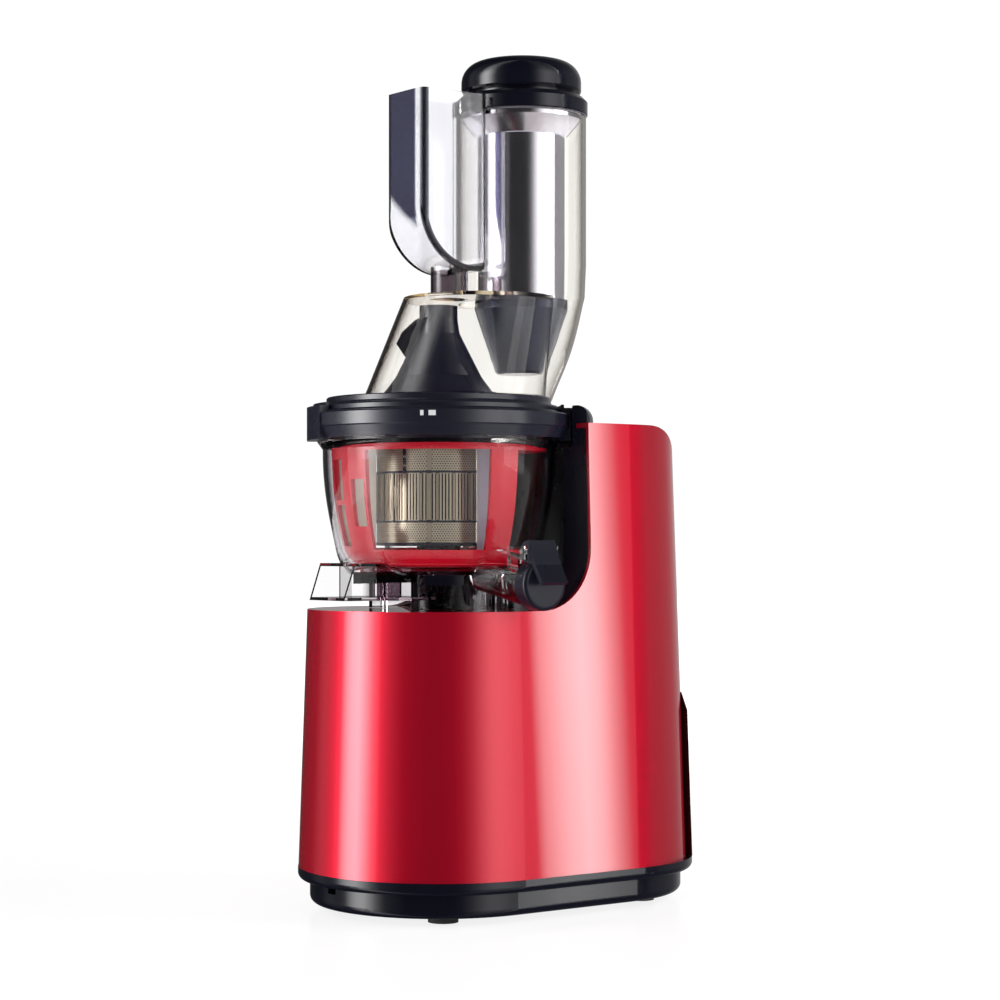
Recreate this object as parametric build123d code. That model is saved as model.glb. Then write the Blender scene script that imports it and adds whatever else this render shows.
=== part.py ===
from build123d import *
import math
import os

# Cold press juicer. Millimetres, +Z up, nose towards -Y, column towards +Y.
# The origin is on the drive axis, at the level the feet stand on.

# ---- motor base: driving dimensions ----
foot_height = 4.0
foot_radius = 9.0
foot_places = ((-48.0, -32.0), (48.0, -32.0), (-48.0, 120.0), (48.0, 120.0))
plinth_floor = 3.5
plinth_wall = 3.0
plinth_inset = 7.0
plinth_round = 5.0
band_bottom = 18.5
band_height = 7.5
band_proud = 0.3
band_round = 4.0
base_back_extra = 4.8
vent_count = 6
vent_pitch = 9.0
vent_size = (44.0, 4.0)
body_half_width = 85.5
body_straight = 87.0
draft_slope = 0.0342
platform_height = 182.0
column_height = 294.0
shell_wall = 3.0
lip_y = 55.0
lip_radius = 38.0
column_back_radius = 60.0
board_y = 134.0
board_size = (58.0, 1.6, 90.0)
board_blocks = ((-14, 48, 16, 14, 12), (12, 50, 12, 18, 20), (-16, 74, 14, 9, 14), (14, 78, 18, 7, 8))
capacitor_radius = 16.0
capacitor_place = (-40.0, 104.0)
isolator_height = 7.0

# ---- black liner of the column ----
panel_wall = 3.0
pocket_radius = 76.0
ring_pocket_radius = 82.0
ring_pocket_floor = 280.0
collar_height = 11.0
collar_reach = 94.0
fit_gap = 0.3
plunger_radius = 1.5
plunger_length = 22.0
plunger_travel = 2.0
plunger_proud = 1.6
plunger_foot = 1.4

# ---- rear cover, switch and inlet ----
cover_proud = 4.0
cover_start_y = 150.0
cover_wall = 2.5
cover_taper = 11.0
cover_lip = 0.8
opening_half_width = 40.0
switch_height = 98.0
switch_size = (24.0, 30.0)
rocker_size = (17.0, 21.0)
rocker_gap = (0.5, 2.3)
rocker_proud = 1.6
rocker_radius = 15.0
bezel_flange = 1.5
bezel_depth = 17.0
bezel_rim = 2.0
face_sink = 0.8
inlet_rim = 3.0
rocker_pivot_depth = 6.0
rocker_pin_radius = 1.2
inlet_height = 52.0
inlet_radius = 8.0
inlet_bore = 3.6
inlet_proud = 9.0

# ---- drive: motor, gears, output shaft ----
pressure_angle = 25.0
tooth_addendum = 0.8
tooth_dedendum = 1.05
tooth_slack = 0.14
motor_pinion_teeth = 12
cluster_wheel_teeth = 60
first_module = 1.0
cluster_pinion_teeth = 14
output_teeth = 70
second_module = 1.5
motor_radius = 42.0
motor_stack = (62.0, 122.0)
winding_height = 9.0
rotor_radius = 24.0
rotor_gap = 0.6
motor_shaft_radius = 5.0
bearing_width = 8.0
bearing_ring = 2.6
end_plate_thickness = 6.0
motor_plate_half = 42.0
motor_leg_offset = 36.0
fan_radius = 33.0
fan_blades = 9
first_stage_z = 150.0
first_stage_width = 8.0
stage_gap = 2.0
second_stage_width = 11.0
gearbox_wall = 3.0
gearbox_gap = 2.0
cluster_pin_radius = 4.0
output_shaft_radius = 8.0
running_gap = 0.05
bush_wall = 2.5
gearbox_screw_radius = 1.2
lid_screw_seat = 3.0
hex_across_flats = 12.0
hex_top = 236.0
drive_collar_radius = 13.5
drive_collar_height = 9.0
collar_wall = 1.8

# ---- juicing bowl ----
bowl_floor_z = 203.0
bowl_floor = 3.0
bowl_wall = 2.2
bowl_foot_radius = 53.0
bowl_bulge = ((203.0, 55.0), (213.0, 61.4), (224.0, 64.0), (236.0, 66.5), (284.0, 70.6))
bowl_rim_radius = 74.0
bowl_rim_z = (284.0, 289.0)
hub_radius = 17.0
hub_wall = 2.6
skirt_radius = 46.0
skirt_wall = 2.2
skirt_from = -33.0
skirt_sweep = 246.0
bowl_lift = 0.2
base_ring_height = 6.0

# ---- pulp outlet ----
duct_half_width = 18.5
duct_bottom = 188.0
duct_top = 210.0
bowl_seal_radius = 11.0
ear_wall = 2.4
ear_foot_z = 212.5
ear_crest = 3.2
duct_wall = 1.8
duct_end_bottom = 82.0
duct_end_top = 74.0
duct_flare = ((60.0, 20.0), (43.0, 33.0))
pulp_hole = ((-6.5, 6.5), (-29.0, -18.5))

# ---- juice outlet ----
spout_radius = 14.0
spout_wall = 2.0
spout_start = (50.0, 206.5)
spout_end = (94.0, 198.5)
cap_radius = 15.3
cap_thickness = 8.0
cap_centre_z = 198.2
cap_hinge = (97.5, 217.0)
cap_hinge_radius = 1.5
lever_half_width = 9.5
lever_wall = 3.0

# ---- strainer, brush and auger ----
strainer_radius = 37.5
strainer_wall = 0.8
strainer_z = (220.0, 286.0)
strainer_bands = ((221.5, 235.0), (264.5, 284.5))
rib_count = 24
rib_width = 1.6
seat_radius = 33.0
seat_wall = 2.6
sun_teeth = 24
idler_teeth = 16
brush_ring_teeth = 56
brush_module = 1.25
brush_gear_z = 206.4
brush_gear_width = 6.0
brush_gap = 2.6
brush_wall = 2.4
brush_top_gap = 2.0
brush_foot_top = 218.0
brush_head_height = 5.0
brush_arms = ((-103.0, 25.5), (0.5, 8.5), (125.0, 20.0))
brush_windows = ((-104.0, 6.0, 248.0, 272.0), (-104.0, 6.0, 220.0, 245.0), (-84.5, 5.0, 232.0, 260.0))
wiper_angles = (-112.5, 0.5, 125.0)
wiper_thickness = 2.0
wiper_gap = 0.7
idler_pin_radius = 3.0
auger_profile = ((9.0, 222.0), (24.0, 226.0), (26.5, 286.0), (34.0, 300.0), (35.0, 311.0),
                 (26.0, 323.0), (20.0, 335.0), (13.0, 349.0), (11.5, 358.0), (11.5, 366.0))
flight_radius = 34.5
flight_z = (226.0, 292.0)
flight_count = 3
flight_width = 5.0
flight_turn = 150.0
spiral_step = 12.0
blade_profile = ((8.0, 326.0), (19.0, 333.0), (25.5, 343.0), (22.0, 350.0), (15.0, 357.0), (8.0, 361.0))
blade_width = 7.0
blade_turn = 80.0
insert_radius = 9.4
blade_start = -165.0
insert_top = 239.0
hex_clearance = 0.2

# ---- lid: ring, feed chute, hopper ----
ring_radius = 79.6
ring_z = (292.0, 300.0)
ring_skirt = (77.0, 285.0)
ring_steps = ((73.0, 305.0), (68.5, 310.0))
ring_wall = 3.0
ring_hole = 52.5
lug_radius = 80.4
lug_top = 306.0
lug_angles = (-115.0, 65.0)
lug_half_angle = 17.0
gasket_height = 1.2
tick_angle = -39.0
chute_wall = 2.4
dome_base = (12.0, 56.0, 310.0)
dome_top = (32.0, 47.5, 373.0)
tube_radius = 40.5
tube_path = ((33.5, 43.0, 310.0), (44.5, 42.0, 329.0), (53.0, 41.0, 345.0),
             (58.5, 40.5, 360.0), (63.5, 40.0, 375.0))
tube_axis_y = 64.0
tube_blend = 10.0
tube_top = 488.0
hopper_half_x = 19.0
hopper_front = -25.8
hopper_wall = 1.8
hopper_top = 495.0
hopper_bend_z = 426.0
hopper_bend_radius = 39.0
hopper_corner = 4.0
neck_y = 8.0
neck_radius = 11.5
neck_wall = 1.8
clip_size = (7.0, 9.0, 6.0)

# ---- pusher ----
pusher_flange_z = (488.0, 499.5)
pusher_flange_radius = 41.5
pusher_plug_radius = 37.0
pusher_plug_depth = 13.0
pusher_neck_radius = 33.0
pusher_cap_z = (502.5, 522.0)
pusher_cap_radius = 37.5
pusher_body_radius = 27.0
pusher_body_bottom = 373.0
pusher_wall = 2.0
nose_top_radius = 29.0
nose_tip_radius = 16.0
nose_bottom = 327.0

# ---- values that follow from the above ----
BASE = (Align.CENTER, Align.CENTER, Align.MIN)
shell_bottom = band_bottom + band_height
cover_top = switch_height + switch_size[1] / 2 + 15
brush_top = bowl_rim_z[0] - brush_top_gap
brush_head = brush_top - brush_head_height
opening_z = (inlet_height - inlet_radius - 6, switch_height + switch_size[1] / 2 + 4)
lip_wall = shell_wall - 0.5
cluster_y = second_module * (cluster_pinion_teeth + output_teeth) / 2
motor_y = cluster_y - first_module * (motor_pinion_teeth + cluster_wheel_teeth) / 2
second_stage_z = first_stage_z + first_stage_width + stage_gap
hub_bottom = platform_height + bowl_lift
idler_distance = brush_module * (sun_teeth + idler_teeth) / 2
tall = 600.0
board_rail_x = board_size[0] / 2
hopper_back = tube_path[-1][0] - tube_path[-1][1] - fit_gap
plunger_y = pocket_radius + panel_wall + plunger_radius - 0.2
plunger_top = ring_pocket_floor + plunger_proud
bush_radius = output_shaft_radius + bush_wall


def body_radius(z, inset=0.0):
    """Half width of the drafted body at a height."""
    return body_half_width - draft_slope * (z - shell_bottom) - inset


def rod(radius, z0, z1, x=0.0, y=0.0):
    """Upright solid cylinder."""
    return Pos(x, y, z0) * Cylinder(radius, z1 - z0, align=BASE)


def ring(outer, inner, z0, z1, x=0.0, y=0.0):
    """Upright tube."""
    return rod(outer, z0, z1, x, y) - rod(inner, z0, z1, x, y)


def frustum(r0, r1, z0, z1, x=0.0, y=0.0):
    """Upright cone stump."""
    return Pos(x, y, z0) * Cone(r0, r1, z1 - z0, align=BASE)


def block(x0, x1, y0, y1, z0, z1):
    """Box between two corners."""
    box = Box(x1 - x0, y1 - y0, z1 - z0)
    return Pos((x0 + x1) / 2, (y0 + y1) / 2, (z0 + z1) / 2) * box


def turned(*points):
    """Solid of revolution about the drive axis from (radius, height) points."""
    return revolve(Plane.XZ * Polygon(*points, align=None), Axis.Z)


def side_block(points, half_width, round_at=None, radius=0.0):
    """Outline in the Y-Z plane, drawn out to both sides in X, with one corner rounded."""
    face = Polygon(*points, align=None)
    if round_at:
        corner = face.vertices().sort_by_distance((round_at[0], round_at[1], 0))[0]
        face = fillet(corner, radius)
    return extrude(Plane.YZ * face, half_width, both=True)


def sector(z0, z1, angle, half_angle, radius=200.0):
    """Wedge of a cylinder about the drive axis."""
    a = math.radians(half_angle)
    tip = radius * math.cos(a), radius * math.sin(a)
    far = 2 * radius
    face = Polygon((0, 0), (tip[0], -tip[1]), (far, 0), (tip[0], tip[1]), align=None)
    return Rot(0, 0, angle) * (Pos(0, 0, z0) * extrude(face, z1 - z0))


def stadium(radius, extra=0.0):
    """Plan of the body: two half circles joined by straight sides, the rear one moved back by extra."""
    length = body_straight + extra
    return Pos(0, length / 2) * (Rot(0, 0, 90) * SlotCenterToCenter(length, 2 * radius))


def body_block(z0, z1, inset=0.0):
    """Drafted block with the body's plan."""
    low = Pos(0, 0, z0) * stadium(body_radius(z0, inset))
    high = Pos(0, 0, z1) * stadium(body_radius(z1, inset))
    return loft([low, high], ruled=True)


def back_y(z, inset=0.0):
    """Rearmost point of the body at a height."""
    return body_straight + body_radius(z, inset)


def involute_gear(teeth, module, z0, width, phase=0.0, internal=False):
    """Spur gear blank. An internal gear's returned solid is what its ring leaves open."""
    pitch = module * teeth / 2
    base = pitch * math.cos(math.radians(pressure_angle))
    slack = -tooth_slack if internal else tooth_slack
    high, low = (tooth_dedendum, tooth_addendum) if internal else (tooth_addendum, tooth_dedendum)
    tip = pitch + high * module
    root = pitch - low * module
    inv = math.tan(math.radians(pressure_angle)) - math.radians(pressure_angle)
    half = (math.pi * module / 2 - slack) / (2 * pitch) + inv

    def flank(r):
        if r <= base:
            return half
        a = math.acos(base / r)
        return half - (math.tan(a) - a)

    start = max(root, base)
    radii = [start + (tip - start) * k / 4 for k in range(5)]
    outline = []
    for n in range(teeth):
        mid = math.radians(phase) + 2 * math.pi * n / teeth
        side = [(root, -flank(start))] if root < start else []
        side += [(r, -flank(r)) for r in radii]
        for r, a in side + [(r, -a) for r, a in reversed(side)]:
            outline.append((r * math.cos(mid + a), r * math.sin(mid + a)))
    return Pos(0, 0, z0) * extrude(Polygon(*outline, align=None), width)


def screw(x, y, z_head, length, radius=2.0, down=True):
    """Pan head screw; z_head is the seat of the head."""
    shank_z = (z_head - length, z_head) if down else (z_head, z_head + length)
    head_z = (z_head, z_head + 0.9 * radius) if down else (z_head - 0.9 * radius, z_head)
    head = rod(1.9 * radius, head_z[0], head_z[1], x, y)
    slot_z = head_z[1] if down else head_z[0]
    cross = Box(2.2 * radius, 0.45 * radius, 0.8 * radius) + Box(0.45 * radius, 2.2 * radius, 0.8 * radius)
    return head + rod(radius, shank_z[0], shank_z[1], x, y) - Pos(x, y, slot_z) * cross


# ======================= motor base =======================
def l_profile(z_floor, lip, top, back_inset=0.0, front=-200.0):
    """Side outline of the body: platform, rounded inner corner, column with a round back."""
    low = 0.0
    back_low = back_y(low, back_inset) + 0.4
    back_top = back_y(top, back_inset) + 0.4
    corner_face = [(front, low), (back_low, low), (back_top, top),
                   (lip, top), (lip, z_floor), (front, z_floor)]
    face = Polygon(*corner_face, align=None)
    inner = face.vertices().sort_by_distance((lip, z_floor, 0))[0]
    face = fillet(inner, lip_radius)
    outer = face.vertices().sort_by_distance((back_top, top, 0))[0]
    face = fillet(outer, column_back_radius - back_inset)
    return extrude(Plane.YZ * face, 200, both=True)


def body_shape(inset, z0, z1):
    """Body envelope set in by a wall thickness, L-profile included."""
    profile = l_profile(platform_height - inset, lip_y + inset, column_height - inset, inset)
    return body_block(z0, z1, inset) & profile


def housing():
    outer = body_shape(0, shell_bottom, column_height)
    floor = rod(pocket_radius + panel_wall, platform_height - shell_wall, platform_height)
    hollow = body_shape(shell_wall, shell_bottom - 1, column_height) - floor
    window = body_block(platform_height, column_height - shell_wall, lip_wall) & side_block(
        [(lip_y - lip_radius, platform_height), (lip_y + shell_wall + 1, platform_height),
         (lip_y + shell_wall + 1, column_height), (lip_y - lip_radius, column_height)], 200)
    shell = outer - hollow - window
    shell -= rod(pocket_radius + panel_wall, platform_height, tall)
    shell -= rod(ring_pocket_radius + panel_wall, ring_pocket_floor - panel_wall, tall)
    shell -= rod(bush_radius, platform_height - 10, platform_height + 1)
    shell -= block(-opening_half_width, opening_half_width, body_straight, 250, *opening_z)
    return shell


def column_panel():
    """Black liner: flat cheeks behind the red lip, round pocket and the raised collar on top."""
    front = body_block(platform_height, column_height - shell_wall, lip_wall + fit_gap)
    behind = side_block([(lip_y - lip_radius, platform_height), (lip_y + panel_wall, platform_height),
                         (lip_y + panel_wall, column_height), (lip_y - lip_radius, column_height)], 200)
    cheek = front & behind & l_profile(platform_height, lip_y + 1.0, column_height)
    hollow = l_profile(platform_height - panel_wall, lip_y + panel_wall + 1.0, column_height + 20)
    cheek -= hollow
    wall = ring(pocket_radius + panel_wall - fit_gap, pocket_radius, platform_height, ring_pocket_floor)
    ledge = ring(ring_pocket_radius + panel_wall - fit_gap, pocket_radius,
                 ring_pocket_floor - panel_wall, ring_pocket_floor)
    upper = ring(ring_pocket_radius + panel_wall - fit_gap, ring_pocket_radius,
                 ring_pocket_floor, column_height + collar_height)
    crest = rod(collar_reach, column_height, column_height + collar_height)
    crest = fillet(crest.edges().group_by(Axis.Z)[-1], collar_height - 2)
    crest &= body_block(column_height, column_height + collar_height, lip_wall)
    crest -= rod(ring_pocket_radius, column_height - 1, tall)
    back = wall + ledge + upper
    inside = body_block(platform_height, column_height + collar_height, lip_wall + fit_gap)
    back &= inside & block(-200, 200, lip_y + 1.0, 200, platform_height, tall)
    crest &= block(-200, 200, lip_y + 1.0, 200, platform_height, tall)
    panel = cheek - rod(pocket_radius, platform_height - 1, tall)
    panel -= rod(ring_pocket_radius, ring_pocket_floor, tall)
    panel += back + crest
    return panel - plunger_bore()


def plunger_bore():
    """Guide hole of the interlock plunger, with room for its foot."""
    foot_room = plunger_radius + plunger_foot + fit_gap
    low = plunger_top - plunger_length - plunger_travel - 1
    bore = rod(plunger_radius + running_gap, low, ring_pocket_floor + 1, 0, plunger_y)
    return bore + rod(foot_room, low, plunger_top - plunger_length + 4, 0, plunger_y)


def skirt_band():
    """Trim between shell and plinth, rounded below and carried back under the rear cover."""
    plan = stadium(body_half_width + band_proud, base_back_extra)
    outer = Pos(0, 0, band_bottom) * extrude(plan, band_height)
    outer = fillet(outer.faces().sort_by(Axis.Z)[0].edges(), band_round)
    hole = stadium(body_half_width - plinth_inset - plinth_wall, base_back_extra)
    return outer - Pos(0, 0, band_bottom - 1) * extrude(hole, band_height + 2)


def base_plinth():
    """Pan that carries the motor, with vents under it and bosses for the screws and the board."""
    radius = body_half_width - plinth_inset
    outer = extrude(stadium(radius, base_back_extra), band_bottom - foot_height)
    outer = fillet(outer.faces().sort_by(Axis.Z)[0].edges(), plinth_round)
    room = extrude(stadium(radius - plinth_wall, base_back_extra), band_bottom)
    pan = Pos(0, 0, foot_height) * outer - Pos(0, 0, foot_height + plinth_floor) * room
    top = foot_height + plinth_floor
    for x, y in motor_legs():
        pan += rod(7.0, top, motor_stack[0] - motor_offset(), x, y)
    for n in range(vent_count):
        y = motor_y + (n - (vent_count - 1) / 2) * vent_pitch
        pan -= block(-vent_size[0] / 2, vent_size[0] / 2, y - vent_size[1] / 2, y + vent_size[1] / 2,
                     foot_height - 1, top + 1)
    for x, y in screw_places():
        pan += rod(5.5, top, shell_bottom + 10, x, y)
        pan -= rod(4.2, foot_height - 1, foot_height + 3, x, y)
        pan -= rod(1.7, foot_height, shell_bottom + 9, x, y)
    for x in (-board_rail_x, board_rail_x):
        rail = block(x - 3, x + 3, board_y - 3.5, board_y + 3.5, top, top + 24)
        pan += rail - block(-board_size[0] / 2 - 0.1, board_size[0] / 2 + 0.1, board_y - 0.9, board_y + 0.9,
                            top + 3, top + 30)
    pan -= block(-4, 4, -120, -body_radius(0) + 12, band_bottom - 4, band_bottom + 1)
    return pan


def motor_offset():
    """Height from the stator's lower face down to the top of the motor's legs."""
    return winding_height + end_plate_thickness + 2.0 + isolator_height


def motor_legs():
    return [(sx * motor_leg_offset, motor_y + sy * motor_leg_offset) for sx in (-1, 1) for sy in (-1, 1)]


def screw_places():
    return ((-30.0, -58.0), (30.0, -58.0), (-30.0, 146.0), (30.0, 146.0))


def base_screws():
    seat = foot_height + 3
    return Compound(children=[screw(x, y, seat, 22, 1.6, down=False) for x, y in screw_places()])


def rubber_feet():
    feet = []
    for x, y in foot_places:
        foot = rod(foot_radius, 0, foot_height, x, y)
        foot -= rod(foot_radius - 4, -1, 0.8, x, y)
        feet.append(foot)
    return Compound(children=feet)


def rear_cover():
    """Cover over the service opening, thinned towards its top, with seats for switch and inlet."""
    shoulder = cover_top - cover_taper
    outer = body_block(shell_bottom + fit_gap, shoulder, -cover_proud)
    slope = loft([Pos(0, 0, shoulder) * stadium(body_radius(shoulder, -cover_proud)),
                  Pos(0, 0, cover_top) * stadium(body_radius(cover_top, -cover_lip))], ruled=True)
    cover = (outer + slope) & block(-200, 200, cover_start_y, 250, 0, 400)
    cover -= body_block(shell_bottom - 5, cover_top + 5)
    low, high = opening_z
    hollow = body_block(shell_bottom - 5, cover_top, cover_wall - cover_proud)
    reach = opening_half_width - 4
    cover -= hollow & block(-reach, reach, body_straight, 250, low - 4, high + 2)
    w, h = switch_size
    plate_y = switch_face_y()
    pad = block(-w / 2 - 10, w / 2 + 10, plate_y - 4, plate_y + 20, low + 2, high - 1)
    cover += pad & body_block(shell_bottom, cover_top, cover_wall / 2 - cover_proud)
    cover -= block(-w / 2, w / 2, plate_y - 30, plate_y + 5, switch_height - h / 2, switch_height + h / 2)
    cover -= block(-w / 2 - bezel_rim, w / 2 + bezel_rim, plate_y, plate_y + 9,
                   switch_height - h / 2 - bezel_rim, switch_height + h / 2 + bezel_rim)
    cover -= Pos(0, plate_y, inlet_height) * (Rot(90, 0, 0) * Cylinder(inlet_radius, 60))
    seat = Rot(-90, 0, 0) * Cylinder(inlet_radius + inlet_rim, 9, align=BASE)
    cover -= Pos(0, inlet_face_y(), inlet_height) * seat
    return cover


def switch_face_y():
    return back_y(switch_height) + cover_proud - face_sink


def inlet_face_y():
    return back_y(inlet_height) + cover_proud - face_sink


def switch_bezel():
    w, h = switch_size
    f = bezel_rim
    y = switch_face_y()
    body = block(-w / 2 + 0.1, w / 2 - 0.1, y - bezel_depth, y, switch_height - h / 2 + 0.1,
                 switch_height + h / 2 - 0.1)
    rim = block(-w / 2 - f, w / 2 + f, y, y + bezel_flange,
                switch_height - h / 2 - f, switch_height + h / 2 + f)
    rw, rh = rocker_size
    side, ends = rw / 2 + rocker_gap[0], rh / 2 + rocker_gap[1]
    well = block(-side, side, y - bezel_depth + 2, y + 5, switch_height - ends, switch_height + ends)
    bezel = body + rim - well
    pin = Rot(0, 90, 0) * Cylinder(rocker_pin_radius, w - 1)
    pin = Pos(0, switch_face_y() - rocker_pivot_depth, switch_height) * pin
    return bezel + pin


def rocker_switch():
    """Rocker paddle: two faces meeting at a shallow angle over a cross pin."""
    y = switch_face_y() + bezel_flange
    rw, rh = rocker_size
    z = switch_height
    points = [(y + rocker_proud, z + rh / 2), (y - 0.6, z), (y - 0.6, z - rh / 2),
              (y - 3.0, z - rh / 2), (y - 9.0, z - 3.5), (y - 9.0, z + 3.5), (y - 3.0, z + rh / 2)]
    paddle = side_block(points, rw / 2)
    bore = Rot(0, 90, 0) * Cylinder(rocker_pin_radius + running_gap, 60)
    bore = Pos(0, switch_face_y() - rocker_pivot_depth, z) * bore
    return paddle - bore


def power_inlet():
    """Cord gland: flanged bush through the cover, bored for a mains lead."""
    y = inlet_face_y()
    lay = Rot(-90, 0, 0)
    bush = Pos(0, y - 8, inlet_height) * (lay * Cylinder(inlet_radius - 0.1, 12 + inlet_proud, align=BASE))
    flange = Pos(0, y, inlet_height) * (lay * Cylinder(inlet_radius + inlet_rim, 2.5, align=BASE))
    bore = Pos(0, y, inlet_height) * (lay * Cylinder(inlet_bore, 100))
    return bush + flange - bore


# ======================= motor and gears =======================
def stator():
    core = Pos(0, motor_y, motor_stack[0]) * extrude(
        RectangleRounded(2 * motor_radius - 6, 2 * motor_radius - 6, 14), motor_stack[1] - motor_stack[0])
    core -= rod(rotor_radius + rotor_gap, 0, tall, 0, motor_y)
    for n in range(12):
        a = 2 * math.pi * n / 12 + math.pi / 12
        r = rotor_radius + 8
        core -= rod(3.4, 0, tall, r * math.cos(a), motor_y + r * math.sin(a))
    return core


def windings():
    """Copper coils: end turns above and below the stack and the bundles in its slots."""
    z0, z1 = motor_stack
    inner, outer = rotor_radius + 3, rotor_radius + 13
    coil = ring(outer, inner, z0 - winding_height, z0, 0, motor_y)
    coil += ring(outer, inner, z1, z1 + winding_height, 0, motor_y)
    for n in range(12):
        a = 2 * math.pi * n / 12 + math.pi / 12
        r = rotor_radius + 8
        coil += rod(3.1, z0 - 1, z1 + 1, r * math.cos(a), motor_y + r * math.sin(a))
    return coil


def end_plate(z, flange, bearing_above):
    """Motor end shield with a bearing seat."""
    plate = Pos(0, motor_y, z) * extrude(RectangleRounded(2 * flange, 2 * flange, 12), end_plate_thickness)
    seat_r = motor_shaft_radius + bearing_ring + 5
    hub_z = z if bearing_above else z + end_plate_thickness - bearing_width - 2
    plate += rod(seat_r + 3, hub_z, hub_z + bearing_width + 2, 0, motor_y)
    seat_z = hub_z + 2 if bearing_above else hub_z
    plate -= rod(seat_r, seat_z, seat_z + bearing_width, 0, motor_y)
    plate -= rod(motor_shaft_radius + 1, z - 20, z + 30, 0, motor_y)
    return plate


def lower_plate_z():
    return motor_stack[0] - winding_height - end_plate_thickness - 2


def upper_plate_z():
    return motor_stack[1] + winding_height + 2


def spacers(z0, z1, reach):
    """Four pillars between an end plate and the stack."""
    return [rod(3.5, z0, z1, sx * reach, motor_y + sy * reach) for sx in (-1, 1) for sy in (-1, 1)]


def motor_lower_plate():
    z = lower_plate_z()
    plate = end_plate(z, motor_plate_half, True)
    for pillar in spacers(z + end_plate_thickness - 1, motor_stack[0], motor_radius - 12):
        plate += pillar
    return plate


def motor_upper_plate():
    z = upper_plate_z()
    plate = end_plate(z, motor_radius - 4, False)
    for pillar in spacers(motor_stack[1], z + 1, motor_radius - 12):
        plate += pillar
    return plate


def bearing(z):
    """Deep groove bearing drawn as its two rings and the ball cage between."""
    bore = motor_shaft_radius + running_gap
    outer = motor_shaft_radius + bearing_ring + 5
    mid = (bore + outer) / 2
    race = ring(outer, bore, z, z + bearing_width, 0, motor_y)
    groove = Pos(0, motor_y, z) * Torus(mid, 1.2) + Pos(0, motor_y, z + bearing_width) * Torus(mid, 1.2)
    return race - groove


def motor_bearings():
    low = lower_plate_z() + 2
    high = upper_plate_z() + end_plate_thickness - bearing_width - 2
    return Compound(children=[bearing(low), bearing(high)])


def motor_mounts():
    top = lower_plate_z()
    bushes = []
    for x, y in motor_legs():
        bush = ring(8.0, 2.2, top - isolator_height, top, x, y)
        bush -= ring(10, 6.2, top - isolator_height / 2 - 1.2, top - isolator_height / 2 + 1.2, x, y)
        bushes.append(bush)
    return Compound(children=bushes)


def rotor_core():
    z0, z1 = motor_stack
    core = rod(rotor_radius, z0, z1, 0, motor_y)
    core += ring(rotor_radius - 2, rotor_radius - 9, z0 - 3, z1 + 3, 0, motor_y)
    return core - rod(motor_shaft_radius, 0, tall, 0, motor_y)


def rotor_shaft():
    low = lower_plate_z() - 12
    shaft = rod(motor_shaft_radius, low, first_stage_z - 1.0, 0, motor_y)
    pinion = Pos(0, motor_y, 0) * involute_gear(motor_pinion_teeth, first_module, first_stage_z - 1.0,
                                                first_stage_width + 1.0, 90.0)
    return shaft + pinion


def cooling_fan():
    low = lower_plate_z() - 12
    fan = ring(9, motor_shaft_radius, low, low + 10, 0, motor_y)
    for n in range(fan_blades):
        blade = Pos(fan_radius / 2 + 3.5, 0, low + 5) * (Rot(32, 0, 0) * Box(fan_radius - 7, 1.6, 11))
        fan += Pos(0, motor_y, 0) * (Rot(0, 0, 360 * n / fan_blades) * blade)
    fan &= rod(fan_radius, low, low + 10, 0, motor_y)
    return fan - rod(motor_shaft_radius, 0, tall, 0, motor_y)


def gearbox_plan(margin):
    """Plan of the gearbox: output wheel circle, cluster circle and the web between."""
    big = second_module * (output_teeth / 2 + 1) + margin
    small = first_module * (cluster_wheel_teeth / 2 + 1) + margin
    plan = Circle(big) + Pos(0, cluster_y) * Circle(small)
    web = Polygon((-small, 0), (small, 0), (small, cluster_y), (-small, cluster_y), align=None)
    return plan + web


def gearbox_bounds():
    low = first_stage_z - gearbox_gap - gearbox_wall
    high = second_stage_z + second_stage_width + gearbox_gap
    return low, high


def gearbox_case():
    low, high = gearbox_bounds()
    floor = low + gearbox_wall
    case = Pos(0, 0, low) * extrude(gearbox_plan(gearbox_gap + gearbox_wall), high - low)
    case -= Pos(0, 0, floor) * extrude(gearbox_plan(gearbox_gap), high)
    case += rod(output_shaft_radius + 6, floor - 1, second_stage_z - 1, 0, 0)
    case -= rod(bush_radius, floor + 1, high, 0, 0)
    case += rod(cluster_pin_radius + 4, floor - 1, first_stage_z - 0.4, 0, cluster_y)
    case -= rod(cluster_pin_radius, floor - 1, high, 0, cluster_y)
    case -= rod(motor_shaft_radius + 2.5, low - 1, high, 0, motor_y)
    top = upper_plate_z() + end_plate_thickness
    for sx in (-1, 1):
        for y in (motor_y - 22, motor_y + 22):
            case += rod(4.5, top, low + 1, sx * 26, y)
    for x, y in gearbox_screw_places():
        case -= rod(gearbox_screw_radius, high - 8, high + 1, x, y)
    return case


def gearbox_lid():
    low, high = gearbox_bounds()
    underside = platform_height - shell_wall
    lid = Pos(0, 0, high) * extrude(gearbox_plan(gearbox_gap + gearbox_wall), underside - high)
    lid -= rod(bush_radius, high - 1, high + 100, 0, 0)
    lid -= rod(cluster_pin_radius, high - 1, high + 2.5, 0, cluster_y)
    for x, y in gearbox_screw_places():
        lid -= rod(gearbox_screw_radius, high - 1, high + 10, x, y)
        lid -= rod(2 * gearbox_screw_radius, high + lid_screw_seat, high + 10, x, y)
    return lid


def output_bushes():
    """Bronze bushes that carry the output shaft below and above its wheel."""
    low, high = gearbox_bounds()
    shaft = output_shaft_radius + running_gap
    lower = ring(bush_radius, shaft, low + gearbox_wall + 1, second_stage_z - 1)
    upper = ring(bush_radius, shaft, high - 0.5, platform_height)
    return Compound(children=[lower, upper])


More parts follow.
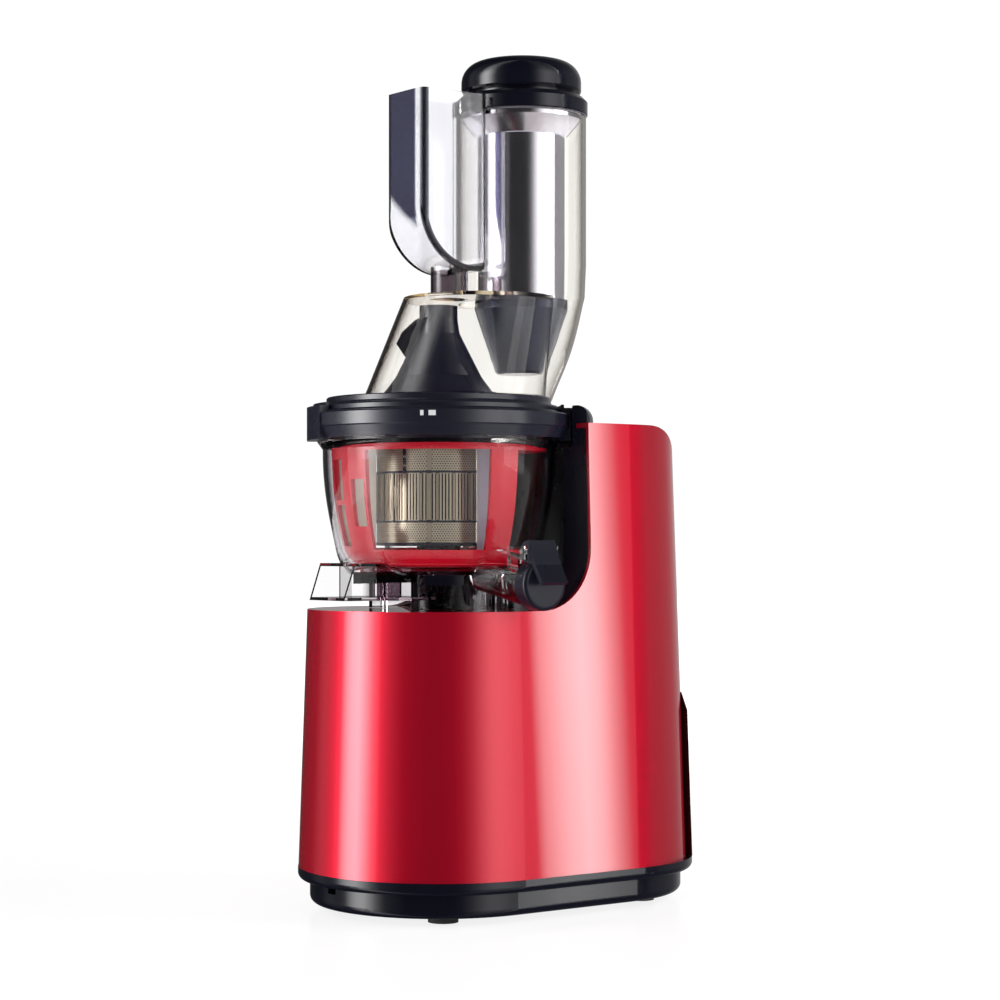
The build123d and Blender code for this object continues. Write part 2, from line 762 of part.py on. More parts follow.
def gearbox_screw_places():
    """Screws round the output wheel's half of the gearbox wall."""
    r = second_module * (output_teeth / 2 + 1) + gearbox_gap + gearbox_wall / 2
    angles = [math.radians(180 + 45 * n) for n in range(5)]
    return [(r * math.cos(a), r * math.sin(a)) for a in angles]


def gearbox_screws():
    seat = gearbox_bounds()[1] + lid_screw_seat
    places = gearbox_screw_places()
    return Compound(children=[screw(x, y, seat, 9, gearbox_screw_radius) for x, y in places])


def cluster_pin():
    low, high = gearbox_bounds()
    return rod(cluster_pin_radius, low + gearbox_wall, high + 2.5, 0, cluster_y)


def gear_cluster():
    """Large first-stage wheel and small second-stage pinion in one piece."""
    wheel = involute_gear(cluster_wheel_teeth, first_module, first_stage_z, first_stage_width,
                          -90.0 + 180.0 / cluster_wheel_teeth)
    web = ring(first_module * cluster_wheel_teeth / 2 - 4, 11, first_stage_z + 3, first_stage_z + 20)
    wheel -= web
    pinion = involute_gear(cluster_pinion_teeth, second_module, first_stage_z + first_stage_width,
                           stage_gap + second_stage_width, -90.0)
    gears = wheel + pinion - rod(cluster_pin_radius + running_gap, 0, tall)
    return Pos(0, cluster_y, 0) * gears


def output_wheel():
    phase = 90.0 + 180.0 / output_teeth
    wheel = involute_gear(output_teeth, second_module, second_stage_z, second_stage_width, phase)
    rim = second_module * output_teeth / 2 - 7
    wheel -= ring(rim, 14, second_stage_z - 1, second_stage_z + 3)
    wheel -= ring(rim, 14, second_stage_z + 8, second_stage_z + 20)
    return wheel - rod(output_shaft_radius, 0, tall)


def hexagon(across, z0, z1):
    return Pos(0, 0, z0) * extrude(RegularPolygon(across / 2, 6, major_radius=False), z1 - z0)


def drive_shaft():
    low = gearbox_bounds()[0] + gearbox_wall + 1.2
    shaft = rod(output_shaft_radius, low, platform_height + drive_collar_height - 2)
    tip = hexagon(hex_across_flats, platform_height + drive_collar_height - 3, hex_top)
    tip = chamfer(tip.edges().group_by(Axis.Z)[-1], 1.2)
    return shaft + tip


def drive_collar():
    """Raised black boss on the platform that the bowl's hub drops over."""
    z0 = platform_height
    collar = rod(drive_collar_radius, z0, z0 + drive_collar_height)
    collar = fillet(collar.edges().group_by(Axis.Z)[-1], 1.0)
    return collar - rod(drive_collar_radius - collar_wall, z0 - 1, tall)


def drive_seal():
    """Rubber lip seal round the drive shaft."""
    z0 = platform_height
    outer = drive_collar_radius - collar_wall
    seal = ring(outer, output_shaft_radius + fit_gap, z0, z0 + drive_collar_height - 3)
    return seal - ring(outer - 1, output_shaft_radius + 1.5, z0 + 3, z0 + 30)


def control_board():
    w, t, h = board_size
    z0 = foot_height + plinth_floor + 3
    board = block(-w / 2, w / 2, board_y - t / 2, board_y + t / 2, z0, z0 + h)
    y = board_y - t / 2
    for x, z, dx, dy, dz in board_blocks:
        board += block(x - dx / 2, x + dx / 2, y - dy, y, z0 + z - dz / 2, z0 + z + dz / 2)
    return board


def run_capacitor():
    x, y = capacitor_place
    z0 = foot_height + plinth_floor
    can = rod(capacitor_radius, z0, z0 + 62, x, y)
    can = fillet(can.edges().group_by(Axis.Z)[-1], 1.5)
    return can + block(x - 6, x - 4.5, y - 3, y + 3, z0 + 61, z0 + 69) + block(x + 4.5, x + 6, y - 3, y + 3,
                                                                              z0 + 61, z0 + 69)


def interlock_plunger():
    low = plunger_top - plunger_length
    pin = rod(plunger_radius, low, plunger_top, 0, plunger_y)
    return pin + rod(plunger_radius + plunger_foot, low, low + 2.0, 0, plunger_y)


def interlock_switch():
    """Microswitch under the plunger, in a pocket of the liner's back."""
    z1 = plunger_top - plunger_length - plunger_travel - 0.3
    y0 = pocket_radius + panel_wall
    case = block(-10, 10, y0, y0 + 9, z1 - 18, z1 - 2)
    return case + block(-2.5, 2.5, y0 + 1, y0 + 5, z1 - 2, z1)


# ======================= juicing bowl =======================
def bowl_solid(offset, lift=0.0):
    """Bulging body of revolution, offset inwards from the bowl's outer face."""
    points = []
    for n, (z, r) in enumerate(bowl_bulge):
        points.append((r - offset, z + lift * max(0.0, 1 - n / 2)))
    top = bowl_bulge[-1][0] + 1
    points[-1] = (points[-1][0], top)
    wall = Spline(*points)
    low = points[0][1]
    edges = wall + Polyline(points[-1], (0, top), (0, low), points[0])
    return revolve(Plane.XZ * make_face(edges), Axis.Z)


def duct_plan(inset):
    """Plan of the pulp outlet: a straight mouth that flares where it meets the bowl."""
    (y1, x1), (y2, x2) = duct_flare
    w = duct_half_width - inset
    right = [(w, -duct_end_bottom - inset), (x1 - inset, -y1), (x2 - inset, -y2), (w, -hub_radius + 1)]
    return right + [(-x, y) for x, y in reversed(right)]


def duct_solid(inset, z0, z1):
    body = Pos(0, 0, z0) * extrude(Polygon(*duct_plan(inset), align=None), z1 - z0)
    lean = (duct_end_bottom - duct_end_top) / (duct_top - duct_bottom)
    y0 = -duct_end_bottom + lean * (z0 - duct_bottom)
    y1 = -duct_end_bottom + lean * (z1 - duct_bottom)
    slope = side_block([(y0, z0), (y1, z1), (0, z1), (0, z0)], bowl_rim_radius)
    return body & slope if inset == 0 else body


def spout_solid(radius, grow):
    """Sloping round spout between the bowl wall and its mouth."""
    (x0, z0), (x1, z1) = spout_start, spout_end
    length = math.hypot(x1 - x0, z1 - z0)
    tilt = math.degrees(math.atan2(x1 - x0, z1 - z0))
    tube = Pos(x0, 0, z0) * (Rot(0, tilt, 0) * (Pos(0, 0, -grow) * Cylinder(radius, length + 2 * grow + 8,
                                                                          align=BASE)))
    return tube & block(x0 - grow - 20, x1 + (grow if grow else 0), -40, 40, 0, 400)


def juicing_bowl():
    outer = bowl_solid(0)
    inner = bowl_solid(bowl_wall, bowl_floor)
    top = bowl_bulge[-1][0]
    rim_inner = bowl_bulge[-1][1] - bowl_wall
    bowl = outer + ring(bowl_rim_radius, rim_inner - 0.5, bowl_rim_z[0] - 1, bowl_rim_z[1])
    neck = bowl_bulge[-1][1] - 1
    bowl += turned((neck, top - 7), (bowl_rim_radius, top - 1), (neck, top - 1))
    bowl += ring(hub_radius, hub_radius - hub_wall, hub_bottom, bowl_floor_z + 1)
    skirt = ring(skirt_radius, skirt_radius - skirt_wall, hub_bottom, bowl_floor_z + 1)
    for n in range(7):
        angle = skirt_from + 23.4 + n * 34
        rib = block(skirt_radius - 4, skirt_radius + 1, -1, 1, hub_bottom, bowl_floor_z + 1)
        skirt += Rot(0, 0, angle) * rib
    gap_half = (360 - skirt_sweep) / 2
    skirt -= sector(0, tall, skirt_from - gap_half, gap_half)
    bowl += skirt
    duct = duct_solid(0, duct_bottom, duct_top) - bowl_solid(bowl_wall, bowl_floor)
    duct -= duct_solid(duct_wall, duct_bottom + duct_wall, duct_top - duct_wall) - bowl_solid(0)
    duct -= rod(hub_radius - hub_wall, 0, bowl_floor_z)
    bowl += duct
    bowl += spout_solid(spout_radius, 0)
    for side in (-1, 1):
        crest = cap_hinge[1] + ear_crest
        ear = block(spout_end[0] - 10, spout_end[0] + 5.8, -ear_wall / 2, ear_wall / 2, ear_foot_z, crest)
        ear += block(spout_end[0] - 10, spout_end[0], -ear_wall / 2, ear_wall / 2, ear_foot_z - 12.5, crest)
        bowl += Pos(0, side * (lever_half_width + 0.5 + ear_wall / 2), 0) * ear
    bowl -= inner
    bowl -= spout_solid(spout_radius - spout_wall, 6) - rod(spout_start[0], 0, bowl_floor_z + bowl_floor)
    bowl -= rod(bowl_seal_radius, bowl_floor_z - 1, bowl_floor_z + bowl_floor + 1)
    (x0, x1), (y0, y1) = pulp_hole
    bowl -= block(x0, x1, y0, y1, bowl_floor_z - 1, bowl_floor_z + bowl_floor + 1)
    floor_top = bowl_floor_z + bowl_floor
    seat = ring(seat_radius, seat_radius - seat_wall, floor_top - 0.5, strainer_z[0])
    seat -= sector(floor_top, tall, 90, 26)
    bowl += seat
    bowl -= Pos(cap_hinge[0], 0, cap_hinge[1]) * (Rot(90, 0, 0) * Cylinder(cap_hinge_radius, 60))
    return bowl


def bowl_base_ring():
    """Black rubber ring under the bowl's floor, open over the pulp outlet and the spout."""
    base = ring(bowl_foot_radius, skirt_radius + 2.2, bowl_floor_z - base_ring_height, bowl_floor_z)
    return base - sector(0, tall, -90, 44) - sector(0, tall, 0, 20)


def bowl_seal():
    bore = hex_across_flats / math.sqrt(3) + fit_gap
    seal = ring(bowl_seal_radius, bore, bowl_floor_z, bowl_floor_z + bowl_floor)
    return seal + ring(bowl_seal_radius - 1, output_shaft_radius + 0.3, bowl_floor_z - 3, bowl_floor_z)


def cap_hinge_pin():
    length = 2 * (lever_half_width + 0.5 + ear_wall) + 1.0
    return Pos(cap_hinge[0], 0, cap_hinge[1]) * (Rot(90, 0, 0) * Cylinder(cap_hinge_radius, length))


def spout_cap():
    """Round cap with the bent lever plate that swings it up."""
    x0 = spout_end[0] + fit_gap
    disc = Pos(x0, 0, cap_centre_z) * (Rot(0, 90, 0) * Cylinder(cap_radius, cap_thickness + 2, align=BASE))
    disc = fillet(disc.edges().sort_by(Axis.X)[-1], 2.5)
    disc -= Pos(x0 - 1, 0, cap_centre_z) * (Rot(0, 90, 0) * Cylinder(cap_radius - 2.5, 3.5, align=BASE))
    hx, hz = cap_hinge
    outline = [(x0, hz - 5), (x0, hz + 4.5), (x0 + 1.1, hz + 5.7), (x0 + 6.4, hz + 6.6), (x0 + 8.6, hz + 1),
               (x0 + 12.2, hz - 7.5), (x0 + 18.8, hz - 17.6), (x0 + 16.6, hz - 19.2),
               (x0 + 9.0, hz - 8.5), (x0 + 6, hz - 7)]
    lever = extrude(Plane.XZ * Polygon(*outline, align=None), lever_half_width, both=True)
    cap = disc + lever
    return cap - Pos(hx, 0, hz) * (Rot(90, 0, 0) * Cylinder(cap_hinge_radius + running_gap, 60))


def cap_seal():
    x0 = spout_end[0] + fit_gap
    outer = cap_radius - 2.5
    seal = Pos(x0 + 0.1, 0, cap_centre_z) * (Rot(0, 90, 0) * Cylinder(outer, 2.4, align=BASE))
    return seal


def strainer_mesh():
    mesh = None
    for z0, z1 in strainer_bands:
        band = ring(strainer_radius, strainer_radius - strainer_wall, z0, z1)
        mesh = band if mesh is None else mesh + band
    low, high = strainer_bands[0][1], strainer_bands[1][0]
    ribs = ring(strainer_radius - 0.1, strainer_radius - strainer_wall, low, high)
    for n in range(rib_count):
        slit = block(strainer_radius - 3, strainer_radius + 3, -0.5, 0.5, low + 2, high - 2)
        ribs -= Rot(0, 0, 360 * n / rib_count) * slit
    return mesh + ribs


def strainer_frame():
    r = strainer_radius
    low, high = strainer_z
    frame = ring(r + 1.0, r, low, strainer_bands[0][0] + 0.5)
    frame += ring(r + 1.0, r, strainer_bands[1][1] - 0.5, high)
    frame += ring(r + 0.5, seat_radius - seat_wall, low, strainer_bands[0][0])
    for z in (strainer_bands[0][1], strainer_bands[1][0]):
        frame += ring(r + 0.9, r, z - 0.6, z + 0.6)
    step = 360 / rib_count
    rib_ring = ring(r + 0.8, r, strainer_bands[0][1], strainer_bands[1][0])
    for n in range(rib_count):
        slice_box = block(r - 5, r + 5, -rib_width / 2, rib_width / 2, low, high)
        frame += rib_ring & (Rot(0, 0, step * (n + 0.5)) * slice_box)
    post_ring = ring(r + 0.8, r, low, high)
    for n in range(4):
        frame += post_ring & (Rot(0, 0, 45 + 90 * n) * block(r - 5, r + 5, -1.5, 1.5, low, high))
    return frame


def idler_pin():
    top = brush_gear_z + brush_gear_width + 1
    return rod(idler_pin_radius, bowl_floor_z + bowl_floor, top, 0, idler_distance)


# ======================= brush =======================
def brush_shell(z0, z1):
    gap = bowl_wall + brush_gap
    shell = bowl_solid(gap, bowl_floor + 1) - bowl_solid(gap + brush_wall, bowl_floor + 3)
    gear_rim = brush_module * brush_ring_teeth / 2 + 4
    return shell & ring(200, gear_rim, z0, z1)


def brush_frame():
    gear_top = brush_gear_z + brush_gear_width
    pitch = brush_module * brush_ring_teeth / 2
    gear = rod(pitch + 5, brush_gear_z, gear_top)
    gear -= involute_gear(brush_ring_teeth, brush_module, brush_gear_z - 1,
                          brush_gear_width + 2, 90.0, True)
    foot_r = bowl_bulge[1][1] - bowl_wall - brush_gap - 3.2
    foot = ring(foot_r, pitch + 4, gear_top - 3, gear_top)
    for n in range(12):
        spoke_gap = sector(0, tall, 15 + 30 * n, 9) & ring(foot_r - 4, pitch + 7, 0, tall)
        foot -= spoke_gap
    frame = gear + foot + brush_shell(gear_top - 4, brush_foot_top) + brush_shell(brush_head, brush_top)
    arms = brush_shell(brush_foot_top - 1, brush_head + 1)
    keep = None
    for angle, half in brush_arms:
        piece = arms & sector(0, tall, angle, half)
        keep = piece if keep is None else keep + piece
    for angle, half, z0, z1 in brush_windows:
        keep -= sector(z0, z1, angle, half)
    return frame + keep


def brush_wipers():
    """Silicone blades from the arms in to the strainer."""
    low, high = brush_foot_top - 2, brush_head + 2
    gap = bowl_wall + brush_gap + brush_wall + 0.05
    fill = bowl_solid(gap, bowl_floor + 3) - rod(strainer_radius + 1.0 + wiper_gap, 0, tall)
    blades = []
    for angle in wiper_angles:
        blade = block(0, 100, -wiper_thickness / 2, wiper_thickness / 2, low, high)
        blades.append((Rot(0, 0, angle) * blade) & fill)
    return Compound(children=[solid for blade in blades for solid in blade.solids()])


def brush_idler():
    gear = involute_gear(idler_teeth, brush_module, brush_gear_z, brush_gear_width, -90.0)
    return Pos(0, idler_distance, 0) * (gear - rod(idler_pin_radius + running_gap, 0, tall))


# ======================= auger =======================
def sun_gear():
    phase = 90.0 + 180.0 / sun_teeth
    gear = involute_gear(sun_teeth, brush_module, brush_gear_z, brush_gear_width + 1, phase)
    return gear - rod(insert_radius, 0, tall)


def auger_insert():
    low = brush_gear_z
    socket = hexagon(hex_across_flats + hex_clearance, low - 1, hex_top + 1.5)
    return rod(insert_radius, low, insert_top) - socket


def spiral(radius, z0, z1, width, count, turn, start=0.0):
    """Helical ribs about the drive axis, lofted through turned sections."""
    star = Circle(6)
    for n in range(count):
        star += Rot(0, 0, start + 360 * n / count) * (Pos(radius / 2, 0) * Rectangle(radius + 2, width))
    star &= Circle(radius)
    steps = max(4, round(abs(turn) / spiral_step))
    rise = (z1 - z0) / steps
    turns = [Pos(0, 0, z0 + rise * k) * Rot(0, 0, turn * k / steps) * star for k in range(steps + 1)]
    return loft(turns, ruled=True)


def auger():
    points = [(0, auger_profile[0][1])] + [(r, z) for r, z in auger_profile] + [(0, auger_profile[-1][1])]
    core = turned(*points)
    core += ring(insert_radius + 4, insert_radius, brush_gear_z + brush_gear_width + 1, 228)
    flights = spiral(flight_radius, flight_z[0], flight_z[1], flight_width, flight_count, flight_turn)
    blade_points = [(0, blade_profile[0][1])] + list(blade_profile) + [(0, blade_profile[-1][1])]
    envelope = turned(*blade_points)
    blade_low, blade_high = blade_profile[0][1], blade_profile[-1][1]
    blade = spiral(36, blade_low, blade_high, blade_width, 1, blade_turn, blade_start)
    blade &= envelope
    top = core + flights + blade
    return top - rod(insert_radius, 0, insert_top)


# ======================= lid =======================
def lid_ring():
    (sr, sz), (z0, z1) = ring_skirt, ring_z
    (r1, t1), (r2, t2) = ring_steps
    seat = bowl_rim_radius + 0.4
    rim_top = bowl_rim_z[1] + gasket_height
    body = turned((seat, sz), (sr, sz), (ring_radius - 0.6, z0 - 0.8), (ring_radius, z0),
                  (ring_radius, z1 - 0.6), (ring_radius - 0.6, z1), (r1 + 0.8, z1 + 1.0),
                  (r1, z1 + 1.8), (r1, t1 - 0.8), (r1 - 0.8, t1),
                  (r2 + 0.6, t1 + 0.8), (r2, t1 + 1.6), (r2, t2 - 0.6), (r2 - 0.6, t2), (ring_hole / 2, t2),
                  (ring_hole / 2, t2 - ring_wall), (r2 - 3, t2 - ring_wall), (r1 - ring_wall - 1, z1),
                  (r1 - ring_wall - 1, rim_top), (seat, rim_top))
    for angle in lug_angles:
        lug = ring(lug_radius, seat, sz - 1, lug_top)
        lug -= ring(lug_radius + 1, lug_radius - 4, lug_top - 2, lug_top + 1)
        body += lug & sector(sz - 1, lug_top, angle, lug_half_angle)
    return body - rod(ring_hole, t1, tall, 0, dome_base[0])


def lid_gasket():
    return ring(bowl_rim_radius - 0.6, ring_steps[0][0] - ring_wall - 0.6, bowl_rim_z[1] + 0.05,
                bowl_rim_z[1] + gasket_height)


def align_marks():
    """Two small painted blocks on the ring's front."""
    marks = []
    for shift, half in ((0.0, 1.5), (-4.3, 0.7)):
        bar = ring(ring_radius + 0.35, ring_radius, ring_z[1] - 4.2, ring_z[1] - 1.2)
        marks.append(bar & sector(0, tall, tick_angle + shift, half))
    return Compound(children=[solid for mark in marks for solid in mark.solids()])


def lofted_circles(sections, inset):
    """Smooth bent tube through level circles given as (y, radius, z)."""
    return loft([Pos(0, y, z) * Circle(r - inset) for y, r, z in sections])


def chute_solid(inset, top_trim):
    (by, br, bz), (ty, tr, tz) = dome_base, dome_top
    lean = (tr - br) / (tz - bz)
    shift = (ty - by) / (tz - bz)
    low = bz - 1 if inset else bz
    high = tz - top_trim
    dome = loft([Pos(0, by + shift * (level - bz), level) * Circle(br + lean * (level - bz) - inset)
                 for level in (low, high)], ruled=True)
    sections = list(tube_path)
    if inset:
        y, r, z = sections[0]
        sections[0] = (y, r, z - 1)
    throat = lofted_circles(sections, inset)
    y, r, z = tube_path[-1]
    joined = Pos(0, tube_axis_y, 2 * tube_blend + z) * Circle(tube_radius - inset)
    upper = loft([Pos(0, y, z) * Circle(r - inset), joined], ruled=True)
    tube = rod(tube_radius - inset, z + 2 * tube_blend, tube_top + (5 if inset else 0), 0, tube_axis_y)
    return dome, throat + upper + tube


def feed_chute():
    """Clear moulding: leaning dome and the tall feed tube that runs into its back."""
    dome, tube = chute_solid(0, 0)
    dome_in, tube_in = chute_solid(chute_wall, chute_wall)
    chute = dome + tube
    chute -= tube_in
    chute -= dome_in
    chute -= rod(neck_radius, dome_top[2] - 5, dome_top[2] + 5, 0, neck_y)
    seat_z = dome_base[2]
    spigot = ring(ring_hole - 0.1, ring_hole - 2.0, seat_z - ring_wall, seat_z + 1.5, 0, dome_base[0])
    spigot += ring(dome_base[1] - chute_wall + 0.5, ring_hole - 2.0, seat_z, seat_z + 1.5, 0, dome_base[0])
    return chute + spigot


def hopper_outline(inset, top):
    """Side outline of the hopper: straight back, floor curving down and back to the neck."""
    front = hopper_front + inset
    back = hopper_back - inset
    centre_y = hopper_front + hopper_bend_radius
    radius = hopper_bend_radius - inset
    low_y = neck_y + neck_radius - 1.0
    low_z = hopper_bend_z - math.sqrt(radius ** 2 - (centre_y - low_y) ** 2)
    mid = math.radians(222)
    arc = ThreePointArc((front, hopper_bend_z), (centre_y + radius * math.cos(mid),
                        hopper_bend_z + radius * math.sin(mid)), (low_y, low_z))
    rest = Polyline((low_y, low_z), (back, low_z + 5 + inset), (back, top), (front, top),
                    (front, hopper_bend_z))
    return Plane.YZ * make_face(arc + rest)


def hopper_plan(inset):
    """Upright block with the hopper's rounded corners."""
    size = (2 * (hopper_half_x - inset), hopper_back - hopper_front - 2 * inset)
    plan = Pos(0, (hopper_front + hopper_back) / 2) * RectangleRounded(*size, hopper_corner - inset)
    return Pos(0, 0, neck_bottom()) * extrude(plan, tall)


def hopper():
    outer = extrude(hopper_outline(0, hopper_top), hopper_half_x, both=True)
    outer &= hopper_plan(0)
    inner = extrude(hopper_outline(hopper_wall, hopper_top + 5), hopper_half_x - hopper_wall, both=True)
    inner &= hopper_plan(hopper_wall)
    neck = rod(neck_radius - 0.05, neck_bottom(), hopper_bend_z - 20, 0, neck_y)
    bore = rod(neck_radius - neck_wall, neck_bottom() - 1, hopper_bend_z, 0, neck_y)
    hopper_shell = outer + neck - inner - bore
    return hopper_shell - rod(pusher_flange_radius + fit_gap, pusher_flange_z[0] - 0.5, tall, 0, tube_axis_y)


def neck_bottom():
    return dome_top[2] - chute_wall + 0.4


def hopper_clip():
    """Catch that ties the hopper's rim to the feed tube."""
    w, d, h = clip_size
    z = hopper_top - h
    x = hopper_half_x - hopper_corner - hopper_wall - w / 2
    x0, x1 = x - w / 2, x + w / 2
    inner = hopper_back - hopper_wall
    hook = block(x0, x1, inner - 2.2, inner, z - 3, hopper_top + 2)
    hook += block(x0, x1, inner - 2.2, hopper_back + 2, hopper_top, hopper_top + 2)
    hook += block(x0, x1, hopper_back, hopper_back + d, z - 4, hopper_top + 2)
    hook -= rod(tube_radius, 0, tall, 0, tube_axis_y)
    return hook - rod(pusher_flange_radius + 2 * fit_gap, pusher_flange_z[0] - 1, tall, 0, tube_axis_y)


# ======================= pusher =======================
def at_tube(solid):
    return Pos(0, tube_axis_y, 0) * solid


def pusher_flange():
    z0, z1 = pusher_flange_z
    r = pusher_flange_radius
    body_r = pusher_body_radius
    deep = z0 - pusher_plug_depth
    top = pusher_cap_z[0]
    disc = turned((0, z1), (pusher_neck_radius, z1), (pusher_neck_radius, top), (0, top))
    plate = turned((0, z0), (r - 0.8, z0), (r, z0 + 0.8), (r, z1 - 3.0), (r - 3.0, z1), (0, z1))
    plug = turned((0, z0), (pusher_plug_radius, z0), (pusher_plug_radius, z0 - 3),
                  (body_r + 1.2, deep), (0, deep))
    return at_tube(disc + plate + plug - rod(body_r, deep - 1, z0))


def pusher_cap():
    z0, z1 = pusher_cap_z
    r = pusher_cap_radius
    rise = z1 - z0
    start, end = (r, z0 + rise * 0.33), (r * 0.62, z1)
    crown = ThreePointArc(start, (r * 0.9, z0 + rise * 0.80), end)
    face = make_face(Polyline(end, (0, z1), (0, z0), (r - 0.8, z0), (r, z0 + 1.2), start) + crown)
    return at_tube(revolve(Plane.XZ * face, Axis.Z))


def pusher_body():
    inner = pusher_body_radius - pusher_wall
    return at_tube(ring(pusher_body_radius, inner, pusher_body_bottom, pusher_flange_z[0]))


def pusher_nose():
    z0, z1 = nose_bottom, pusher_body_bottom
    shape = turned((0, z0), (nose_tip_radius - 1.5, z0), (nose_tip_radius, z0 + 1.5),
                   (nose_top_radius - 1.0, z1 - 9), (nose_top_radius, z1 - 6), (nose_top_radius, z1), (0, z1))
    plug = rod(pusher_body_radius - pusher_wall - 0.02, z1, z1 + 8)
    hollow = turned((0, z0 + 3), (nose_tip_radius - 3.5, z0 + 3), (nose_top_radius - 5, z1 - 6),
                    (nose_top_radius - 7, z1 + 9), (0, z1 + 9))
    return at_tube(shape + plug - hollow)


PARTS = {
    "housing": housing, "column_panel": column_panel, "skirt_band": skirt_band, "base_plinth": base_plinth,
    "base_screws": base_screws, "rubber_feet": rubber_feet, "rear_cover": rear_cover,
    "switch_bezel": switch_bezel, "rocker_switch": rocker_switch, "power_inlet": power_inlet,
    "motor_stator": stator, "motor_windings": windings, "motor_lower_plate": motor_lower_plate,
    "motor_upper_plate": motor_upper_plate, "motor_bearings": motor_bearings, "motor_mounts": motor_mounts,
    "rotor_core": rotor_core, "rotor_shaft": rotor_shaft, "cooling_fan": cooling_fan,
    "gearbox_case": gearbox_case, "gearbox_lid": gearbox_lid, "gearbox_screws": gearbox_screws,
    "output_bushes": output_bushes, "cluster_pin": cluster_pin, "gear_cluster": gear_cluster,
    "output_wheel": output_wheel, "drive_shaft": drive_shaft, "drive_collar": drive_collar,
    "drive_seal": drive_seal, "control_board": control_board, "run_capacitor": run_capacitor,
    "interlock_plunger": interlock_plunger, "interlock_switch": interlock_switch,
    "juicing_bowl": juicing_bowl, "bowl_base_ring": bowl_base_ring, "bowl_seal": bowl_seal,
    "cap_hinge_pin": cap_hinge_pin, "spout_cap": spout_cap, "cap_seal": cap_seal,
    "strainer_mesh": strainer_mesh, "strainer_frame": strainer_frame, "idler_pin": idler_pin,
    "brush_frame": brush_frame, "brush_wipers": brush_wipers, "brush_idler": brush_idler,
    "sun_gear": sun_gear, "auger_insert": auger_insert, "auger": auger,
    "lid_ring": lid_ring, "lid_gasket": lid_gasket, "align_marks": align_marks, "feed_chute": feed_chute,
    "hopper": hopper, "hopper_clip": hopper_clip,
    "pusher_flange": pusher_flange, "pusher_cap": pusher_cap, "pusher_body": pusher_body,
    "pusher_nose": pusher_nose,
}

os.makedirs("parts", exist_ok=True)
for name, make in PARTS.items():
    export_step(make(), f"parts/{name}.step")
    print(name)
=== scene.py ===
# %% [markdown]
# # A cold press juicer in candy red
# A cold press juicer squeezes fruit with a slow screw instead of cutting it. A motor hides in the
# red body, a clear bowl sits on the platform, and a hopper and a feed tube stand on the lid. The
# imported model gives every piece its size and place. This file dresses those pieces: it gives each
# one its finish, and it remakes the few that live from fine detail.

# %% The frame
import math

import bmesh
import bpy
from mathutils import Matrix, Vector


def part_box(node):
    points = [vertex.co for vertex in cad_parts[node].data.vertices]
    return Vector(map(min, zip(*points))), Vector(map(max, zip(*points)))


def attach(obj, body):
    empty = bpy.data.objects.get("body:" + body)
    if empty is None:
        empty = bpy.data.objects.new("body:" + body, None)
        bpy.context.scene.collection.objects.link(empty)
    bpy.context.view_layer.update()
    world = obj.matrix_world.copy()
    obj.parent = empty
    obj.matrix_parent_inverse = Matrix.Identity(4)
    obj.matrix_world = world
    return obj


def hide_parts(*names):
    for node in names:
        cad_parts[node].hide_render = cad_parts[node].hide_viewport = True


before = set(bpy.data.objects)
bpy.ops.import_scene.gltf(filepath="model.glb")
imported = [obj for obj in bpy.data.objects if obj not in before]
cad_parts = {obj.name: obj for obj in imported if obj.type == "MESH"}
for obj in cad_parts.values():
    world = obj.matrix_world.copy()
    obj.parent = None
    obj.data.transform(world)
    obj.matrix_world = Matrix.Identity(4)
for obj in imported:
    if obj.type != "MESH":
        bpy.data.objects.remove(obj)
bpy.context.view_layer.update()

# %% [markdown]
# ## Camera
# The camera stands a little to the nose's right, level with the bowl. A long lens keeps the
# upright edges upright. The two small shifts frame the tall shape without tilting the camera.

# %% Camera
MM = 0.001
IMAGE_PIXELS = 1000
focal_pixels = 2413.9
camera_distance = 1472.6 * MM
camera_azimuth = math.radians(53.74)
camera_height = 223 * MM
axis_column = 438.75
horizon_row = 541.3

towards_camera = Vector((math.sin(camera_azimuth), -math.cos(camera_azimuth), 0))
camera_data = bpy.data.cameras.new("camera")
camera_data.sensor_width = 36.0
camera_data.lens = camera_data.sensor_width * focal_pixels / IMAGE_PIXELS
camera_data.shift_x = (IMAGE_PIXELS / 2 - axis_column) / IMAGE_PIXELS
camera_data.shift_y = (horizon_row - IMAGE_PIXELS / 2) / IMAGE_PIXELS
camera = bpy.data.objects.new("camera", camera_data)
camera.location = towards_camera * camera_distance + Vector((0, 0, camera_height))
camera.rotation_euler = (math.radians(90), 0, camera_azimuth)
bpy.context.scene.collection.objects.link(camera)
bpy.context.scene.camera = camera
bpy.context.scene.view_settings.view_transform = "Standard"
print("lens", round(camera_data.lens, 1), "mm")

# %% [markdown]
# ## Studio
# Glossy paint shows what stands around it. A product studio uses tall soft boxes for the bright
# bands and black flags for the dark ones. Here the world carries both: for reflections it is a
# ring of light and dark zones, set out by compass angle, and for the camera it is plain white.
# Two soft lamps give the plain light that falls on everything.

# %% Node helpers
def new_material(name):
    """Material with an empty node tree."""
    material = bpy.data.materials.new(name)
    material.use_nodes = True
    material.node_tree.nodes.clear()
    return material, material.node_tree


def add(tree, kind, x=0, y=0, **values):
    """Node of a kind, with settings and socket values by name."""
    node = tree.nodes.new(kind)
    node.location = (x, y)
    for key, value in values.items():
        if hasattr(node, key):
            setattr(node, key, value)
        else:
            node.inputs[key.replace("_", " ")].default_value = value
    return node


def feed(tree, socket, value):
    """Links a socket to another, or sets it to a number or a colour."""
    if isinstance(value, bpy.types.NodeSocket):
        tree.links.new(value, socket)
    elif isinstance(value, tuple):
        socket.default_value = (*value, 1)
    else:
        socket.default_value = value


